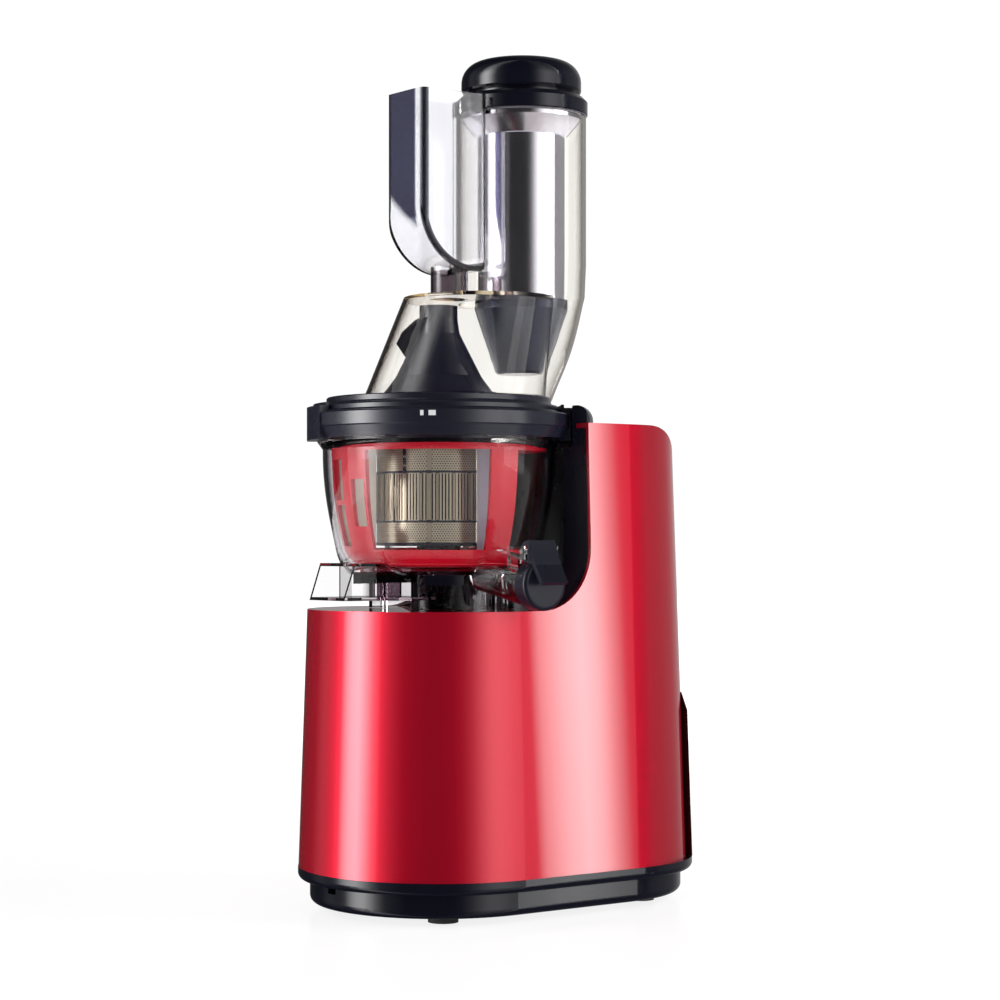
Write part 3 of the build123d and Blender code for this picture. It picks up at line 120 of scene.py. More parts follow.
def calc(tree, operation, first, second=0.0, x=-500, y=0):
    """Output of a Math node on two sockets or numbers."""
    node = add(tree, "ShaderNodeMath", x, y, operation=operation)
    feed(tree, node.inputs[0], first)
    feed(tree, node.inputs[1], second)
    return node.outputs[0]


def ranged(tree, value, low, high, to_low=0.0, to_high=1.0, x=-700, y=0):
    """Output of a clamped Map Range node."""
    node = add(tree, "ShaderNodeMapRange", x, y)
    for name, number in (("From Min", low), ("From Max", high), ("To Min", to_low), ("To Max", to_high)):
        node.inputs[name].default_value = number
    feed(tree, node.inputs["Value"], value)
    return node.outputs[0]


def ramp(tree, share, stops, x=-500, y=0):
    """Output of a Color Ramp node with (place, grey or colour) stops."""
    node = add(tree, "ShaderNodeValToRGB", x, y)
    elements = node.color_ramp.elements
    while len(elements) > 1:
        elements.remove(elements[-1])
    for index, (place, value) in enumerate(stops):
        element = elements[0] if index == 0 else elements.new(place)
        element.position = place
        element.color = (*value, 1.0) if isinstance(value, tuple) else (value, value, value, 1.0)
    feed(tree, node.inputs["Fac"], share)
    return node.outputs["Color"]


print("node helpers ready")

# %% Levels of the soft boxes and flags
RING = (
    (-180, 0.03), (-163, 0.04), (-149, 0.30), (-134, 0.25), (-127, 0.60), (-122, 4.1), (-115, 8.0),
    (-107, 9.5), (-100, 6.0), (-93, 2.2), (-86, 0.4), (-78, 0.2), (-66, 0.02), (-24, 0.02), (-16, 0.10),
    (-8, 0.45), (0, 1.2), (8, 1.9), (15, 2.0), (24, 1.7), (34, 1.1), (40, 0.5), (43, 0.08), (49, 0.06),
    (60, 0.25), (98, 0.25), (125, 0.5), (150, 0.3), (160, 0.04), (180, 0.03),
)
STRIP = (
    (30, 0.0), (38.35, 0.0), (38.6, 4.4), (39.15, 9.0), (39.6, 11.0), (39.95, 9.0), (40.35, 3.6),
    (40.65, 0.3), (40.85, 0.0), (50, 0.0),
)
HEIGHTS = (
    (-1.0, 0.05), (-0.5, 0.30), (-0.17, 0.75), (0.0, 1.0), (0.35, 1.0), (0.6, 0.45), (0.85, 0.15),
    (1.0, 0.10),
)
brightest = max(level for _, level in RING + STRIP)
print("ring zones", len(RING), "strip zones", len(STRIP), "brightest", brightest)

# %% [markdown]
# ## The ring in the world
# A colour ramp holds only 256 steps, which is 1.4 degrees each round a whole circle. One soft box
# is so narrow and sharp that it would smear, so it has a ramp of its own over a few degrees. A
# third ramp dims the ring upwards and downwards, as real soft boxes end at some height.

# %% Ring, strip and heights
def levels(stops, start, end):
    """Stops moved from their own scale to a ramp's scale of 0 to 1, and dimmed to the same limit."""
    return [((place - start) / (end - start), level / brightest) for place, level in stops]


world = bpy.data.worlds.new("studio")
bpy.context.scene.world = world
world.use_nodes = True
tree = world.node_tree
tree.nodes.clear()
direction = add(tree, "ShaderNodeTexCoord", -1400, 0)
split = add(tree, "ShaderNodeSeparateXYZ", -1200, 0)
tree.links.new(direction.outputs["Generated"], split.inputs[0])
compass = calc(tree, "ARCTAN2", split.outputs["Y"], split.outputs["X"], -1000, 0)
strip_start, strip_end = STRIP[0][0], STRIP[-1][0]
ring_place = ranged(tree, compass, -math.pi, math.pi, x=-800, y=0)
strip_place = ranged(tree, compass, math.radians(strip_start), math.radians(strip_end), x=-800, y=250)
height_place = ranged(tree, split.outputs["Z"], -1.0, 1.0, x=-800, y=-300)
ring_level = ramp(tree, ring_place, levels(RING, -180, 180), -600, 0)
strip_level = ramp(tree, strip_place, levels(STRIP, strip_start, strip_end), -600, 250)
height_stops = [((height + 1) / 2, share) for height, share in HEIGHTS]
height_share = ramp(tree, height_place, height_stops, -600, -300)
both_levels = calc(tree, "ADD", ring_level, strip_level, -400, 100)
dimmed = calc(tree, "MULTIPLY", both_levels, height_share, -300, 0)
ring_strength = calc(tree, "MULTIPLY", dimmed, brightest, -150, 0)
print("strip from", strip_start, "to", strip_end, "degrees")

# %% [markdown]
# ## Which ray sees which light
# The camera, and a ray that only passes through clear plastic, see a white room. A ray that was
# mirrored sees the ring. All other rays carry the plain light of the room. Clear walls keep the
# lamps' light out of the bowl, so a ray that crossed them sees a stronger room.

# %% Light by kind of ray
room_light = 0.42
bowl_light = 1.15
white_room = 1.04
half_bounce = 0.5
crossed_walls = 2.5

paths = add(tree, "ShaderNodeLightPath", -1000, 400)
undiffused = calc(tree, "LESS_THAN", paths.outputs["Diffuse Depth"], half_bounce, -700, 500)
unmirrored = calc(tree, "LESS_THAN", paths.outputs["Glossy Depth"], half_bounce, -700, 350)
straight = calc(tree, "MULTIPLY", undiffused, unmirrored, -500, 450)
through = calc(tree, "MULTIPLY", straight, paths.outputs["Is Transmission Ray"], -400, 450)
seen = calc(tree, "MAXIMUM", paths.outputs["Is Camera Ray"], through, -250, 400)
mirrored = calc(tree, "SUBTRACT", undiffused, straight, -400, 250)
in_bowl = calc(tree, "GREATER_THAN", paths.outputs["Transmission Depth"], crossed_walls, -700, -500)
fill_strength = ranged(tree, in_bowl, 0.0, 1.0, room_light, bowl_light, -500, -500)


def background(tree, strength, y):
    """White light of a strength."""
    node = add(tree, "ShaderNodeBackground", 0, y)
    node.inputs["Color"].default_value = (1, 1, 1, 1)
    feed(tree, node.inputs["Strength"], strength)
    return node.outputs[0]


def chosen(tree, choice, first, second, x):
    """First light where the choice is 0, second where it is 1."""
    node = add(tree, "ShaderNodeMixShader", x, 0)
    for socket, value in zip(node.inputs, (choice, first, second)):
        tree.links.new(value, socket)
    return node.outputs[0]


fill = background(tree, fill_strength, -200)
ring = background(tree, ring_strength, 0)
white = background(tree, white_room, 200)
lit = chosen(tree, mirrored, fill, ring, 300)
out = add(tree, "ShaderNodeOutputWorld", 700, 0)
tree.links.new(chosen(tree, seen, lit, white, 500), out.inputs["Surface"])
print("room", room_light, "in the bowl", bowl_light)

# %% [markdown]
# ## Lamps and floor
# Two tall area lamps give the shadow on the floor and the plain light on the finishes. They stay
# out of the reflections, which the ring already holds. The floor mixes a pale surface, which takes
# the shadow, with a glow that turns it white a little way off, so that no horizon shows.

# %% Lamps
lamp_aim = Vector((0, 0.04, 0.26))
lamp_distance = 1.6
lamp_size = (0.9, 1.6)


def soft_lamp(name, azimuth, height, power):
    """Tall area lamp that looks at the middle of the object."""
    data = bpy.data.lights.new(name, "AREA")
    data.shape = "RECTANGLE"
    data.size, data.size_y = lamp_size
    data.energy = power
    lamp = bpy.data.objects.new(name, data)
    turn = math.radians(azimuth)
    lamp.location = (lamp_distance * math.cos(turn), lamp_distance * math.sin(turn), height)
    lamp.rotation_euler = (lamp_aim - lamp.location).to_track_quat("-Z", "Y").to_euler()
    lamp.visible_glossy = False
    lamp.visible_camera = False
    bpy.context.scene.collection.objects.link(lamp)


soft_lamp("key_lamp", 45, 0.9, 14)
soft_lamp("fill_lamp", -125, 0.7, 9)
print("lamps", len(bpy.data.lights))

# %% Floor
floor_glow = 1.38
near_floor, far_floor = 0.45, 1.5
near_share = 0.60
floor_half = 6.0

floor_material, tree = new_material("floor")
pale = add(tree, "ShaderNodeBsdfPrincipled", 0, 0, Roughness=0.16)
pale.inputs["Base Color"].default_value = (1, 1, 1, 1)
glow = add(tree, "ShaderNodeEmission", 0, -300, Strength=floor_glow)
floor_place = add(tree, "ShaderNodeTexCoord", -600, -500)
reach = add(tree, "ShaderNodeVectorMath", -400, -500, operation="LENGTH")
tree.links.new(floor_place.outputs["Object"], reach.inputs[0])
glow_share = ranged(tree, reach.outputs["Value"], near_floor, far_floor, near_share, 1.0, -200, -500)
out = add(tree, "ShaderNodeOutputMaterial", 500, 0)
tree.links.new(chosen(tree, glow_share, pale.outputs[0], glow.outputs[0], 300), out.inputs["Surface"])

floor_mesh = bpy.data.meshes.new("floor")
corners = [(x * floor_half, y * floor_half, 0) for x, y in ((-1, -1), (1, -1), (1, 1), (-1, 1))]
floor_mesh.from_pydata(corners, [], [(0, 1, 2, 3)])
floor_mesh.materials.append(floor_material)
floor = bpy.data.objects.new("floor", floor_mesh)
bpy.context.scene.collection.objects.link(floor)
floor.visible_glossy = False
print("floor half width", floor_half)

# %% [markdown]
# ## Finishes
# The body is moulded plastic under metallic red and a clear coat. The blacks are glossy and
# satin mouldings with a blue tinge, the clear parts are a smoky copolymer, and the strainer is
# thin steel. Every finish has small changes of roughness, because real mouldings are never even.
# They all use one node group for that, so the unevenness is built once.

# %% Surface wear shared by the mouldings
def moulding_group():
    """Group that turns a base roughness into a slightly uneven one, with a fine height map."""
    group = bpy.data.node_groups.new("moulding_surface", "ShaderNodeTree")
    face = group.interface
    for name, value in (("Roughness", 0.3), ("Variation", 0.05), ("Scale", 60.0)):
        socket = face.new_socket(name, in_out="INPUT", socket_type="NodeSocketFloat")
        socket.default_value = value
    face.new_socket("Roughness", in_out="OUTPUT", socket_type="NodeSocketFloat")
    face.new_socket("Height", in_out="OUTPUT", socket_type="NodeSocketFloat")
    fine_factor = 14.0
    inside = add(group, "NodeGroupInput", -900)
    outside = add(group, "NodeGroupOutput", 300)
    coord = add(group, "ShaderNodeTexCoord", -900, 300)
    broad = add(group, "ShaderNodeTexNoise", -500, 200, Detail=3.0)
    fine = add(group, "ShaderNodeTexNoise", -500, -200, Detail=2.0)
    group.links.new(coord.outputs["Object"], broad.inputs["Vector"])
    group.links.new(coord.outputs["Object"], fine.inputs["Vector"])
    group.links.new(inside.outputs["Scale"], broad.inputs["Scale"])
    feed(group, fine.inputs["Scale"], calc(group, "MULTIPLY", inside.outputs["Scale"], fine_factor, -700))
    centred = calc(group, "SUBTRACT", broad.outputs["Fac"], 0.5, -300)
    spread = calc(group, "MULTIPLY", centred, inside.outputs["Variation"], -150)
    total = calc(group, "ADD", spread, inside.outputs["Roughness"], 0)
    total.node.use_clamp = True
    group.links.new(total, outside.inputs["Roughness"])
    group.links.new(fine.outputs["Fac"], outside.inputs["Height"])
    return group


surface_group = moulding_group()
print("surface group nodes", len(surface_group.nodes))


# %% A moulded, coated or metal finish
relief_depth = 0.4 * MM


def moulding(name, colour, roughness, variation=0.06, scale=60.0, bump=0.02, **sockets):
    """Principled surface with the shared unevenness."""
    material, tree = new_material(name)
    shader = add(tree, "ShaderNodeBsdfPrincipled", 0, 0)
    shader.inputs["Base Color"].default_value = (*colour, 1)
    for key, value in sockets.items():
        shader.inputs[key.replace("_", " ")].default_value = value
    wear = add(tree, "ShaderNodeGroup", -500, 0)
    wear.node_tree = surface_group
    for key, value in (("Roughness", roughness), ("Variation", variation), ("Scale", scale)):
        wear.inputs[key].default_value = value
    relief = add(tree, "ShaderNodeBump", -250, -300, Strength=bump, Distance=relief_depth)
    out = add(tree, "ShaderNodeOutputMaterial", 300, 0)
    tree.links.new(wear.outputs["Roughness"], shader.inputs["Roughness"])
    tree.links.new(wear.outputs["Height"], relief.inputs["Height"])
    tree.links.new(relief.outputs[0], shader.inputs["Normal"])
    tree.links.new(shader.outputs[0], out.inputs["Surface"])
    return material


def principled(material):
    """The Principled shader of a finish."""
    return material.node_tree.nodes["Principled BSDF"]


def dress(material, *nodes):
    """Gives the CAD nodes this finish."""
    for name in nodes:
        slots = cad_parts[name].data.materials
        slots.clear()
        slots.append(material)
    print(material.name, "on", len(nodes))


# %% Red, blacks and rubbers
candy_red = moulding("candy_red", (0.66, 0.008, 0.032), 0.38, 0.03, 30.0, 0.0, Metallic=0.66,
                     Specular_IOR_Level=0.0, Coat_Weight=1.0, Coat_Roughness=0.01, Coat_IOR=1.54)
black = (0.006, 0.006, 0.013)
auger_colour = (0.012, 0.012, 0.026)
gloss_black = moulding("gloss_black", black, 0.13, 0.04, 40.0, 0.01, Specular_IOR_Level=0.45)
satin_black = moulding("satin_black", (0.01, 0.01, 0.019), 0.28, 0.06, 60.0, 0.03, Specular_IOR_Level=0.3)
lid_black = moulding("lid_black", (0.012, 0.012, 0.024), 0.27, 0.04, 50.0, 0.02, Specular_IOR_Level=0.8)
auger_black = moulding("auger_black", auger_colour, 0.20, 0.05, 50.0, 0.02, Specular_IOR_Level=0.35)
dark_cover = moulding("dark_cover", (0.022, 0.006, 0.006), 0.24, 0.06, 60.0, 0.03)
brush_red = moulding("brush_red", (0.62, 0.006, 0.024), 0.25, 0.05, 50.0, 0.01, Specular_IOR_Level=0.3)
slate = moulding("slate", (0.014, 0.018, 0.050), 0.22, 0.04, 40.0, 0.0, Metallic=0.25)
mark_white = moulding("mark_white", (0.85, 0.85, 0.88), 0.35, 0.04, 60.0, 0.0)
rubber = moulding("rubber", (0.018, 0.018, 0.018), 0.75, 0.1, 90.0, 0.2)
silicone = moulding("silicone", (0.62, 0.56, 0.66), 0.45, 0.05, 50.0, 0.02)

dress(candy_red, "housing")
dress(gloss_black, "base_plinth", "skirt_band", "bowl_base_ring", "pusher_cap", "hopper_clip")
dress(satin_black, "column_panel", "switch_bezel", "rocker_switch", "power_inlet", "spout_cap",
      "drive_collar", "interlock_plunger")
dress(lid_black, "lid_ring")
dress(auger_black, "auger")
dress(dark_cover, "rear_cover")
dress(brush_red, "brush_frame")
dress(slate, "pusher_nose")
dress(mark_white, "align_marks")
dress(rubber, "rubber_feet", "motor_mounts", "drive_seal")
dress(silicone, "bowl_seal", "cap_seal", "lid_gasket")

# %% Metals and the works inside
silver_colour = (0.66, 0.65, 0.73)
silver = moulding("silver", silver_colour, 0.15, 0.03, 40.0, 0.0, Metallic=1.0)
steel = moulding("steel", (0.50, 0.44, 0.34), 0.34, 0.08, 120.0, 0.02, Metallic=0.85)
bright_steel = moulding("bright_steel", (0.60, 0.60, 0.62), 0.22, 0.08, 120.0, 0.02, Metallic=1.0)
brass = moulding("brass", (0.68, 0.46, 0.18), 0.28, 0.08, 90.0, 0.02, Metallic=1.0)
copper = moulding("copper", (0.70, 0.28, 0.12), 0.35, 0.08, 200.0, 0.25, Metallic=1.0)
lamination = moulding("lamination", (0.30, 0.30, 0.33), 0.42, 0.1, 200.0, 0.2, Metallic=1.0)
gear_white = moulding("gear_white", (0.78, 0.76, 0.70), 0.42, 0.05, 60.0, 0.02)
board_green = moulding("board_green", (0.02, 0.16, 0.06), 0.45, 0.1, 120.0, 0.1)
grey_case = moulding("grey_case", (0.22, 0.23, 0.26), 0.40, 0.06, 60.0, 0.05)

dress(silver, "pusher_body")
dress(steel, "strainer_mesh")
dress(bright_steel, "base_screws", "gearbox_screws", "rotor_shaft", "cluster_pin", "drive_shaft",
      "idler_pin", "cap_hinge_pin", "auger_insert", "motor_bearings")
dress(brass, "output_bushes")
dress(copper, "motor_windings")
dress(lamination, "motor_stator", "rotor_core")
dress(gear_white, "sun_gear", "brush_idler", "gear_cluster", "output_wheel", "cooling_fan")
dress(board_green, "control_board")
dress(grey_case, "gearbox_case", "gearbox_lid", "motor_lower_plate", "motor_upper_plate",
      "run_capacitor", "interlock_switch")

# %% [markdown]
# ## Clear plastics
# The chute, the hopper and the bowl are thick clear mouldings with a warm smoky tint. Glass with an
# absorbing volume gets darker where the wall is thicker. A real wall also looks dark along its
# edges, so a Layer Weight node paints that shade into the base colour where the wall turns away.

# %% Clear walls with painted shade at their edges
EDGE_SHADE_RAMP = (0.52, 0.70, 0.86)


# The face-on colour is the plastic's own tint. The edge colour is painted shade.
def tint_and_edge_shade(tree, edge, face_on=(1.0, 1.0, 1.0)):
    """Light tint where the wall is seen straight on, and painted shade where it is seen edge on."""
    facing = add(tree, "ShaderNodeLayerWeight", -800, 900, Blend=0.5)
    middle = tuple((light + dark) / 2 for light, dark in zip(face_on, edge))
    tint_and_shades = (face_on, middle, edge)
    return ramp(tree, facing.outputs["Facing"], [(0.0, face_on), *zip(EDGE_SHADE_RAMP, tint_and_shades)], -600, 900)


def clear(name, tint, density, base, roughness=0.02, ior=1.45):
    """Clear moulded plastic with an absorbing volume. The base is a function from tree to colour."""
    material = moulding(name, (1, 1, 1), roughness, 0.02, 40.0, 0.01, Transmission_Weight=1.0, IOR=ior)
    tree = material.node_tree
    depth = add(tree, "ShaderNodeVolumeAbsorption", 0, -500, Density=density)
    depth.inputs["Color"].default_value = (*tint, 1)
    tree.links.new(depth.outputs[0], tree.nodes["Material Output"].inputs["Volume"])
    tree.links.new(base(tree), principled(material).inputs["Base Color"])
    return material


def chute_base_and_edge_shade(tree):
    """White face and painted brown shade at the edges of the chute."""
    return tint_and_edge_shade(tree, (0.11, 0.07, 0.05))


dress(clear("smoky_clear", (0.90, 0.86, 0.78), 120.0, chute_base_and_edge_shade, ior=1.32), "feed_chute")

# %% [markdown]
# ## Two finishes in one moulding
# Several pieces change their finish at a line, as the hopper's front wall does, which carries
# painted shade between clear sides. A mask from Object coordinates says where one finish ends and
# the other begins, so the change stays in place when the piece moves. It needs no second mesh.

# %% Masks by place
# The sockets of a Mix node that take and give colours, by number, because three kinds share a name.
FIRST_COLOUR, SECOND_COLOUR, MIXED_COLOUR = 6, 7, 2


def axis_place(tree, axis, tilt=0.0, x=-1100, y=400):
    """Place along an object axis, or along one that is tilted about Y."""
    coord = add(tree, "ShaderNodeTexCoord", x, y)
    turned = add(tree, "ShaderNodeMapping", x + 200, y)
    turned.inputs["Rotation"].default_value = (0, tilt, 0)
    split = add(tree, "ShaderNodeSeparateXYZ", x + 350, y)
    tree.links.new(coord.outputs["Object"], turned.inputs["Vector"])
    tree.links.new(turned.outputs[0], split.inputs[0])
    return split.outputs[axis]


def mask_above(tree, axis, line, soft, tilt=0.0, y=400):
    """Mask that is 1 above a line along an axis, with an edge of some softness."""
    return ranged(tree, axis_place(tree, axis, tilt, y=y), line - soft, line + soft, y=y)


def mask_below(tree, axis, line, soft, y=400):
    """Mask that is 1 below a line along an axis, with an edge of some softness."""
    return ranged(tree, axis_place(tree, axis, y=y), line + soft, line - soft, y=y)


def mask_beyond(tree, across, centre, limit, soft, x=-900, y=-1100):
    """Mask that is 1 further than a limit from a line through the centre. Across picks two axes."""
    coord = add(tree, "ShaderNodeTexCoord", x, y)
    offset = add(tree, "ShaderNodeVectorMath", x + 150, y, operation="MULTIPLY_ADD")
    offset.inputs[1].default_value = across
    offset.inputs[2].default_value = tuple(-a * c for a, c in zip(across, centre))
    length = add(tree, "ShaderNodeVectorMath", x + 300, y, operation="LENGTH")
    tree.links.new(coord.outputs["Object"], offset.inputs[0])
    tree.links.new(offset.outputs[0], length.inputs[0])
    return ranged(tree, length.outputs["Value"], limit - soft, limit + soft, y=y)


def blended(tree, mask, first, second, x=-200, y=600):
    """First colour where the mask is 0, second where it is 1."""
    mix = add(tree, "ShaderNodeMix", x, y, data_type="RGBA")
    feed(tree, mix.inputs["Factor"], mask)
    feed(tree, mix.inputs[FIRST_COLOUR], first)
    feed(tree, mix.inputs[SECOND_COLOUR], second)
    return mix.outputs[MIXED_COLOUR]


print("mask helpers ready")

# %% [markdown]
# ## Hopper
# The hopper is a tall clear box whose front wall runs down into a curved floor and a short neck.
# Painted shade darkens its front down to a slanting line, a painted dark stripe follows the bend at
# its near corner, and painted shade darkens the neck. Each is one mask, and the masks are multiplied.

# %% Painted shade on the front, the corner and the neck
hopper_low, hopper_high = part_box("hopper")
hopper_width = hopper_high.x - hopper_low.x
# Painted shade: the front colour stands for a dark card seen through the wall, the corner colour for the
# dark line along the refracting corner, and the neck colour for dark parts seen through the neck.
painted_front_shade = (0.045, 0.045, 0.085)
painted_corner_shade = (0.02, 0.02, 0.03)
painted_neck_shade = (0.30, 0.26, 0.28)
neck_top = 388 * MM
front_shade_height = 435 * MM
front_shade_tilt = math.atan(24 / 29)
front_shade_line = front_shade_height * math.cos(front_shade_tilt) + hopper_low.x * math.sin(front_shade_tilt)
front_shade_depth = 2.8 * MM
front_shade_end = 0.775
front_shade_end_soft = 0.015 * hopper_width
front_shade_line_soft = 2.4 * MM
stripe_depth = 4.5 * MM
stripe_start = 0.9125
stripe_start_soft = 0.0125 * hopper_width
depth_soft = 0.3 * MM
bend_radius = 39 * MM
bend_height = 426 * MM
bend_centre = (0, hopper_low.y + bend_radius, bend_height)
corner_stripe = 3.2 * MM


def across_hopper(share):
    """Place across the hopper, from 0 on the far side to 1 on the near one."""
    return hopper_low.x + share * hopper_width


def hopper_base(tree):
    """Colour of the hopper's wall, with painted shade on the front, the near corner, the neck and the
    edges.
    """
    front = mask_below(tree, "Y", hopper_low.y + front_shade_depth, depth_soft)
    far_part = mask_below(tree, "X", across_hopper(front_shade_end), front_shade_end_soft, y=100)
    above = mask_above(tree, "Z", front_shade_line, front_shade_line_soft, -front_shade_tilt, -200)
    front_shaded = calc(tree, "MULTIPLY", calc(tree, "MULTIPLY", front, far_part), above)
    near_side = mask_above(tree, "X", across_hopper(stripe_start), stripe_start_soft, y=-500)
    near_front = mask_below(tree, "Y", hopper_low.y + stripe_depth, depth_soft, y=-800)
    bend_rim = mask_beyond(tree, (0, 1, 1), bend_centre, bend_radius - corner_stripe, 0.2 * MM)
    in_bend = mask_below(tree, "Z", bend_height + 0.5 * MM, 0.5 * MM, y=-1400)
    stripe = calc(tree, "MAXIMUM", near_front, calc(tree, "MULTIPLY", bend_rim, in_bend))
    above_neck = mask_above(tree, "Z", neck_top, 0.5 * MM, y=-1700)
    glass_and_edge_shade = tint_and_edge_shade(tree, (0.13, 0.09, 0.07), (0.93, 0.93, 0.96))
    wall = blended(tree, front_shaded, blended(tree, above_neck, painted_neck_shade, glass_and_edge_shade, y=1200), painted_front_shade)
    return blended(tree, calc(tree, "MULTIPLY", near_side, stripe), wall, painted_corner_shade, y=900)


dress(clear("hopper_with_painted_shade", (0.88, 0.87, 0.86), 130.0, hopper_base, roughness=0.07), "hopper")
print("hopper front", round(hopper_low.y / MM, 1), "mm")

# %% [markdown]
# ## Bowl
# The bowl is clear down to its floor. Under the floor sit the thick boss and the seal's seat, which
# look dark through their many walls, so a mask paints that shade on the middle part.

# %% Clear bowl with painted shade in the middle under its floor
# Painted shade: the boss colour stands for the boss and the seal's seat, seen dark through the walls.
painted_boss_shade = (0.14, 0.09, 0.12)
boss_radius = 44 * MM
boss_height = 212 * MM


def bowl_base(tree):
    """Colour of the bowl's wall, with painted shade under its floor and at its edges."""
    around_boss = mask_beyond(tree, (1, 1, 0), (0, 0, 0), boss_radius, 3 * MM)
    above_boss = mask_above(tree, "Z", boss_height, 1 * MM)
    clear_part = calc(tree, "MAXIMUM", around_boss, above_boss)
    return blended(tree, clear_part, painted_boss_shade, tint_and_edge_shade(tree, (0.20, 0.17, 0.20)))


dress(clear("bowl_clear", (0.84, 0.80, 0.82), 60.0, bowl_base, ior=1.27), "juicing_bowl")

# %% [markdown]
# ## Pusher's flange
# The flange and the plug under it are one moulding. The plug is silvered like the pusher's body,
# and the flange above it is gloss black, so colour and metal change at the same height.

# %% Silvered plug under the black flange
flange_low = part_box("pusher_flange")[0]
plug_top = flange_low.z + 13 * MM
plug_soft = 0.26 * MM
flange_finish = moulding("flange_and_plug", black, 0.16, 0.03, 40.0, 0.0)
tree = flange_finish.node_tree
flange_part = mask_above(tree, "Z", plug_top, plug_soft)
shader = principled(flange_finish)
feed(tree, shader.inputs["Base Color"], blended(tree, flange_part, silver_colour, black))
feed(tree, shader.inputs["Metallic"], calc(tree, "SUBTRACT", 1.0, flange_part, y=300))
dress(flange_finish, "pusher_flange")

# %% [markdown]
# ## Strainer's frame
# Thin black rings hold the steel sheet at its ends and between its bands. The posts between the
# rings are steel like the sheet. Compare nodes pick the heights that are black.

# %% Black rings and steel posts
frame_low, frame_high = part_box("strainer_frame")
mesh_low, mesh_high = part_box("strainer_mesh")
lower_band = 13.5 * MM
upper_band = 20.0 * MM
foot_ring = 2.7 * MM
head_ring = 2.1 * MM
thin_ring = 1.8 * MM
black_heights = (
    (frame_low.z + foot_ring / 2, foot_ring),
    (mesh_low.z + lower_band, thin_ring),
    (mesh_high.z - upper_band, thin_ring),
    (frame_high.z - head_ring / 2, head_ring),
)


def height_zone(tree, place, centre, height):
    """Mask that is 1 within a zone of some height about a centre."""
    node = add(tree, "ShaderNodeMath", -500, 0, operation="COMPARE")
    feed(tree, node.inputs[0], place)
    node.inputs[1].default_value = centre
    node.inputs[2].default_value = height / 2
    return node.outputs[0]


strainer_finish = moulding("strainer_finish", auger_colour, 0.34, 0.06, 80.0, 0.02)
tree = strainer_finish.node_tree
place = axis_place(tree, "Z")
rings = 0.0
for centre, height in black_heights:
    rings = calc(tree, "MAXIMUM", height_zone(tree, place, centre, height), rings)
shader = principled(strainer_finish)
feed(tree, shader.inputs["Base Color"], blended(tree, rings, (0.34, 0.29, 0.22), auger_colour))
feed(tree, shader.inputs["Metallic"], ranged(tree, rings, 0.0, 1.0, 0.85, 0.0, y=300))
dress(strainer_finish, "strainer_frame")

# %% [markdown]
# ## Wipers
# Silicone wipers fill the windows of the red brush frame. Those on the spout's side are lilac, and
# the others carry painted light, a cream that stands for the white room seen through the windows,
# so the finish changes halfway across the brush.

# %% Lilac wipers and wipers with painted light
wiper_low, wiper_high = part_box("brush_wipers")
wiper_middle = (wiper_low.x + wiper_high.x) / 2
wiper_soft = 0.02 * (wiper_high.x - wiper_low.x)
# Painted light: the cream stands for the white room seen through the windows.
painted_window_light, lilac = (0.95, 0.90, 0.76), (0.42, 0.38, 0.46)
wipers_and_painted_light = moulding("wipers_and_painted_light", painted_window_light, 0.45, 0.05, 50.0, 0.02)
tree = wipers_and_painted_light.node_tree
spout_side = mask_above(tree, "X", wiper_middle, wiper_soft)
feed(tree, principled(wipers_and_painted_light).inputs["Base Color"], blended(tree, spout_side, painted_window_light, lilac))
dress(wipers_and_painted_light, "brush_wipers")

# %% Pieces without a finish
undressed = [name for name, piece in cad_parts.items()
             if not piece.data.materials or not piece.data.materials[0].use_nodes]
print("undressed", undressed)

# %% [markdown]
# ## Strainer
# The strainer is a steel tube drilled with thousands of small holes in two bands, with long slots
# between them. Cutting every hole out of a tube would be slow. So one flat cell with its hole is
# made for each band, Geometry Nodes set a field of such cells and roll it up into a tube, and the
# joined bands then get the wall of the sheet.

# %% One drilled cell
CELL_WAYS = ((1, 0), (1, 1), (0, 1), (-1, 1), (-1, 0), (-1, -1), (0, -1), (1, -1))
round_corner = math.sqrt(0.5)
slot_corner = 0.97
round_hole = (0.90 * MM, 0.85 * MM)
slot_hole = (0.80 * MM, 28.0 * MM)


def drilled_cell(name, width, height, hole, corner):
    """Flat cell in the XZ plane with a hole of eight corners, round or almost square-ended."""
    points = [(x * width / 2, 0, z * height / 2) for x, z in CELL_WAYS]
    for x, z in CELL_WAYS:
        reach = corner if x and z else 1.0
        points.append((x * reach * hole[0] / 2, 0, z * reach * hole[1] / 2))
    sides = len(CELL_WAYS)
    faces = [(k, (k + 1) % sides, sides + (k + 1) % sides, sides + k) for k in range(sides)]
    mesh = bpy.data.meshes.new(name)
    mesh.from_pydata(points, [], faces)
    return bpy.data.objects.new(name, mesh)


print("round hole", round_hole, "slot", slot_hole)

# %% [markdown]
# ## A field of cells, rolled up
# The tree gets its sizes as inputs, so that one tree serves all three bands. It sets a point for
# each cell in a flat field, places the cell on every point, and then bends the whole field round
# the Z axis. Rolled last, the cells bend with the tube, and their edges meet without gaps.

# %% Inputs of the tree
FIELD_INPUTS = (
    ("Cell", "NodeSocketObject"), ("Around", "NodeSocketInt"), ("Rows", "NodeSocketInt"),
    ("Radius", "NodeSocketFloat"), ("Low", "NodeSocketFloat"), ("Height", "NodeSocketFloat"),
    ("Finish", "NodeSocketMaterial"),
)


def new_field_tree(name):
    """Geometry Nodes tree with the field's inputs: the tree, its given values and its result node."""
    tree = bpy.data.node_groups.new(name, "GeometryNodeTree")
    tree.interface.new_socket("Geometry", in_out="INPUT", socket_type="NodeSocketGeometry")
    for label, kind in FIELD_INPUTS:
        tree.interface.new_socket(label, in_out="INPUT", socket_type=kind)
    tree.interface.new_socket("Geometry", in_out="OUTPUT", socket_type="NodeSocketGeometry")
    return tree, add(tree, "NodeGroupInput", -1500).outputs, add(tree, "NodeGroupOutput", 900)


print("field inputs", len(FIELD_INPUTS))


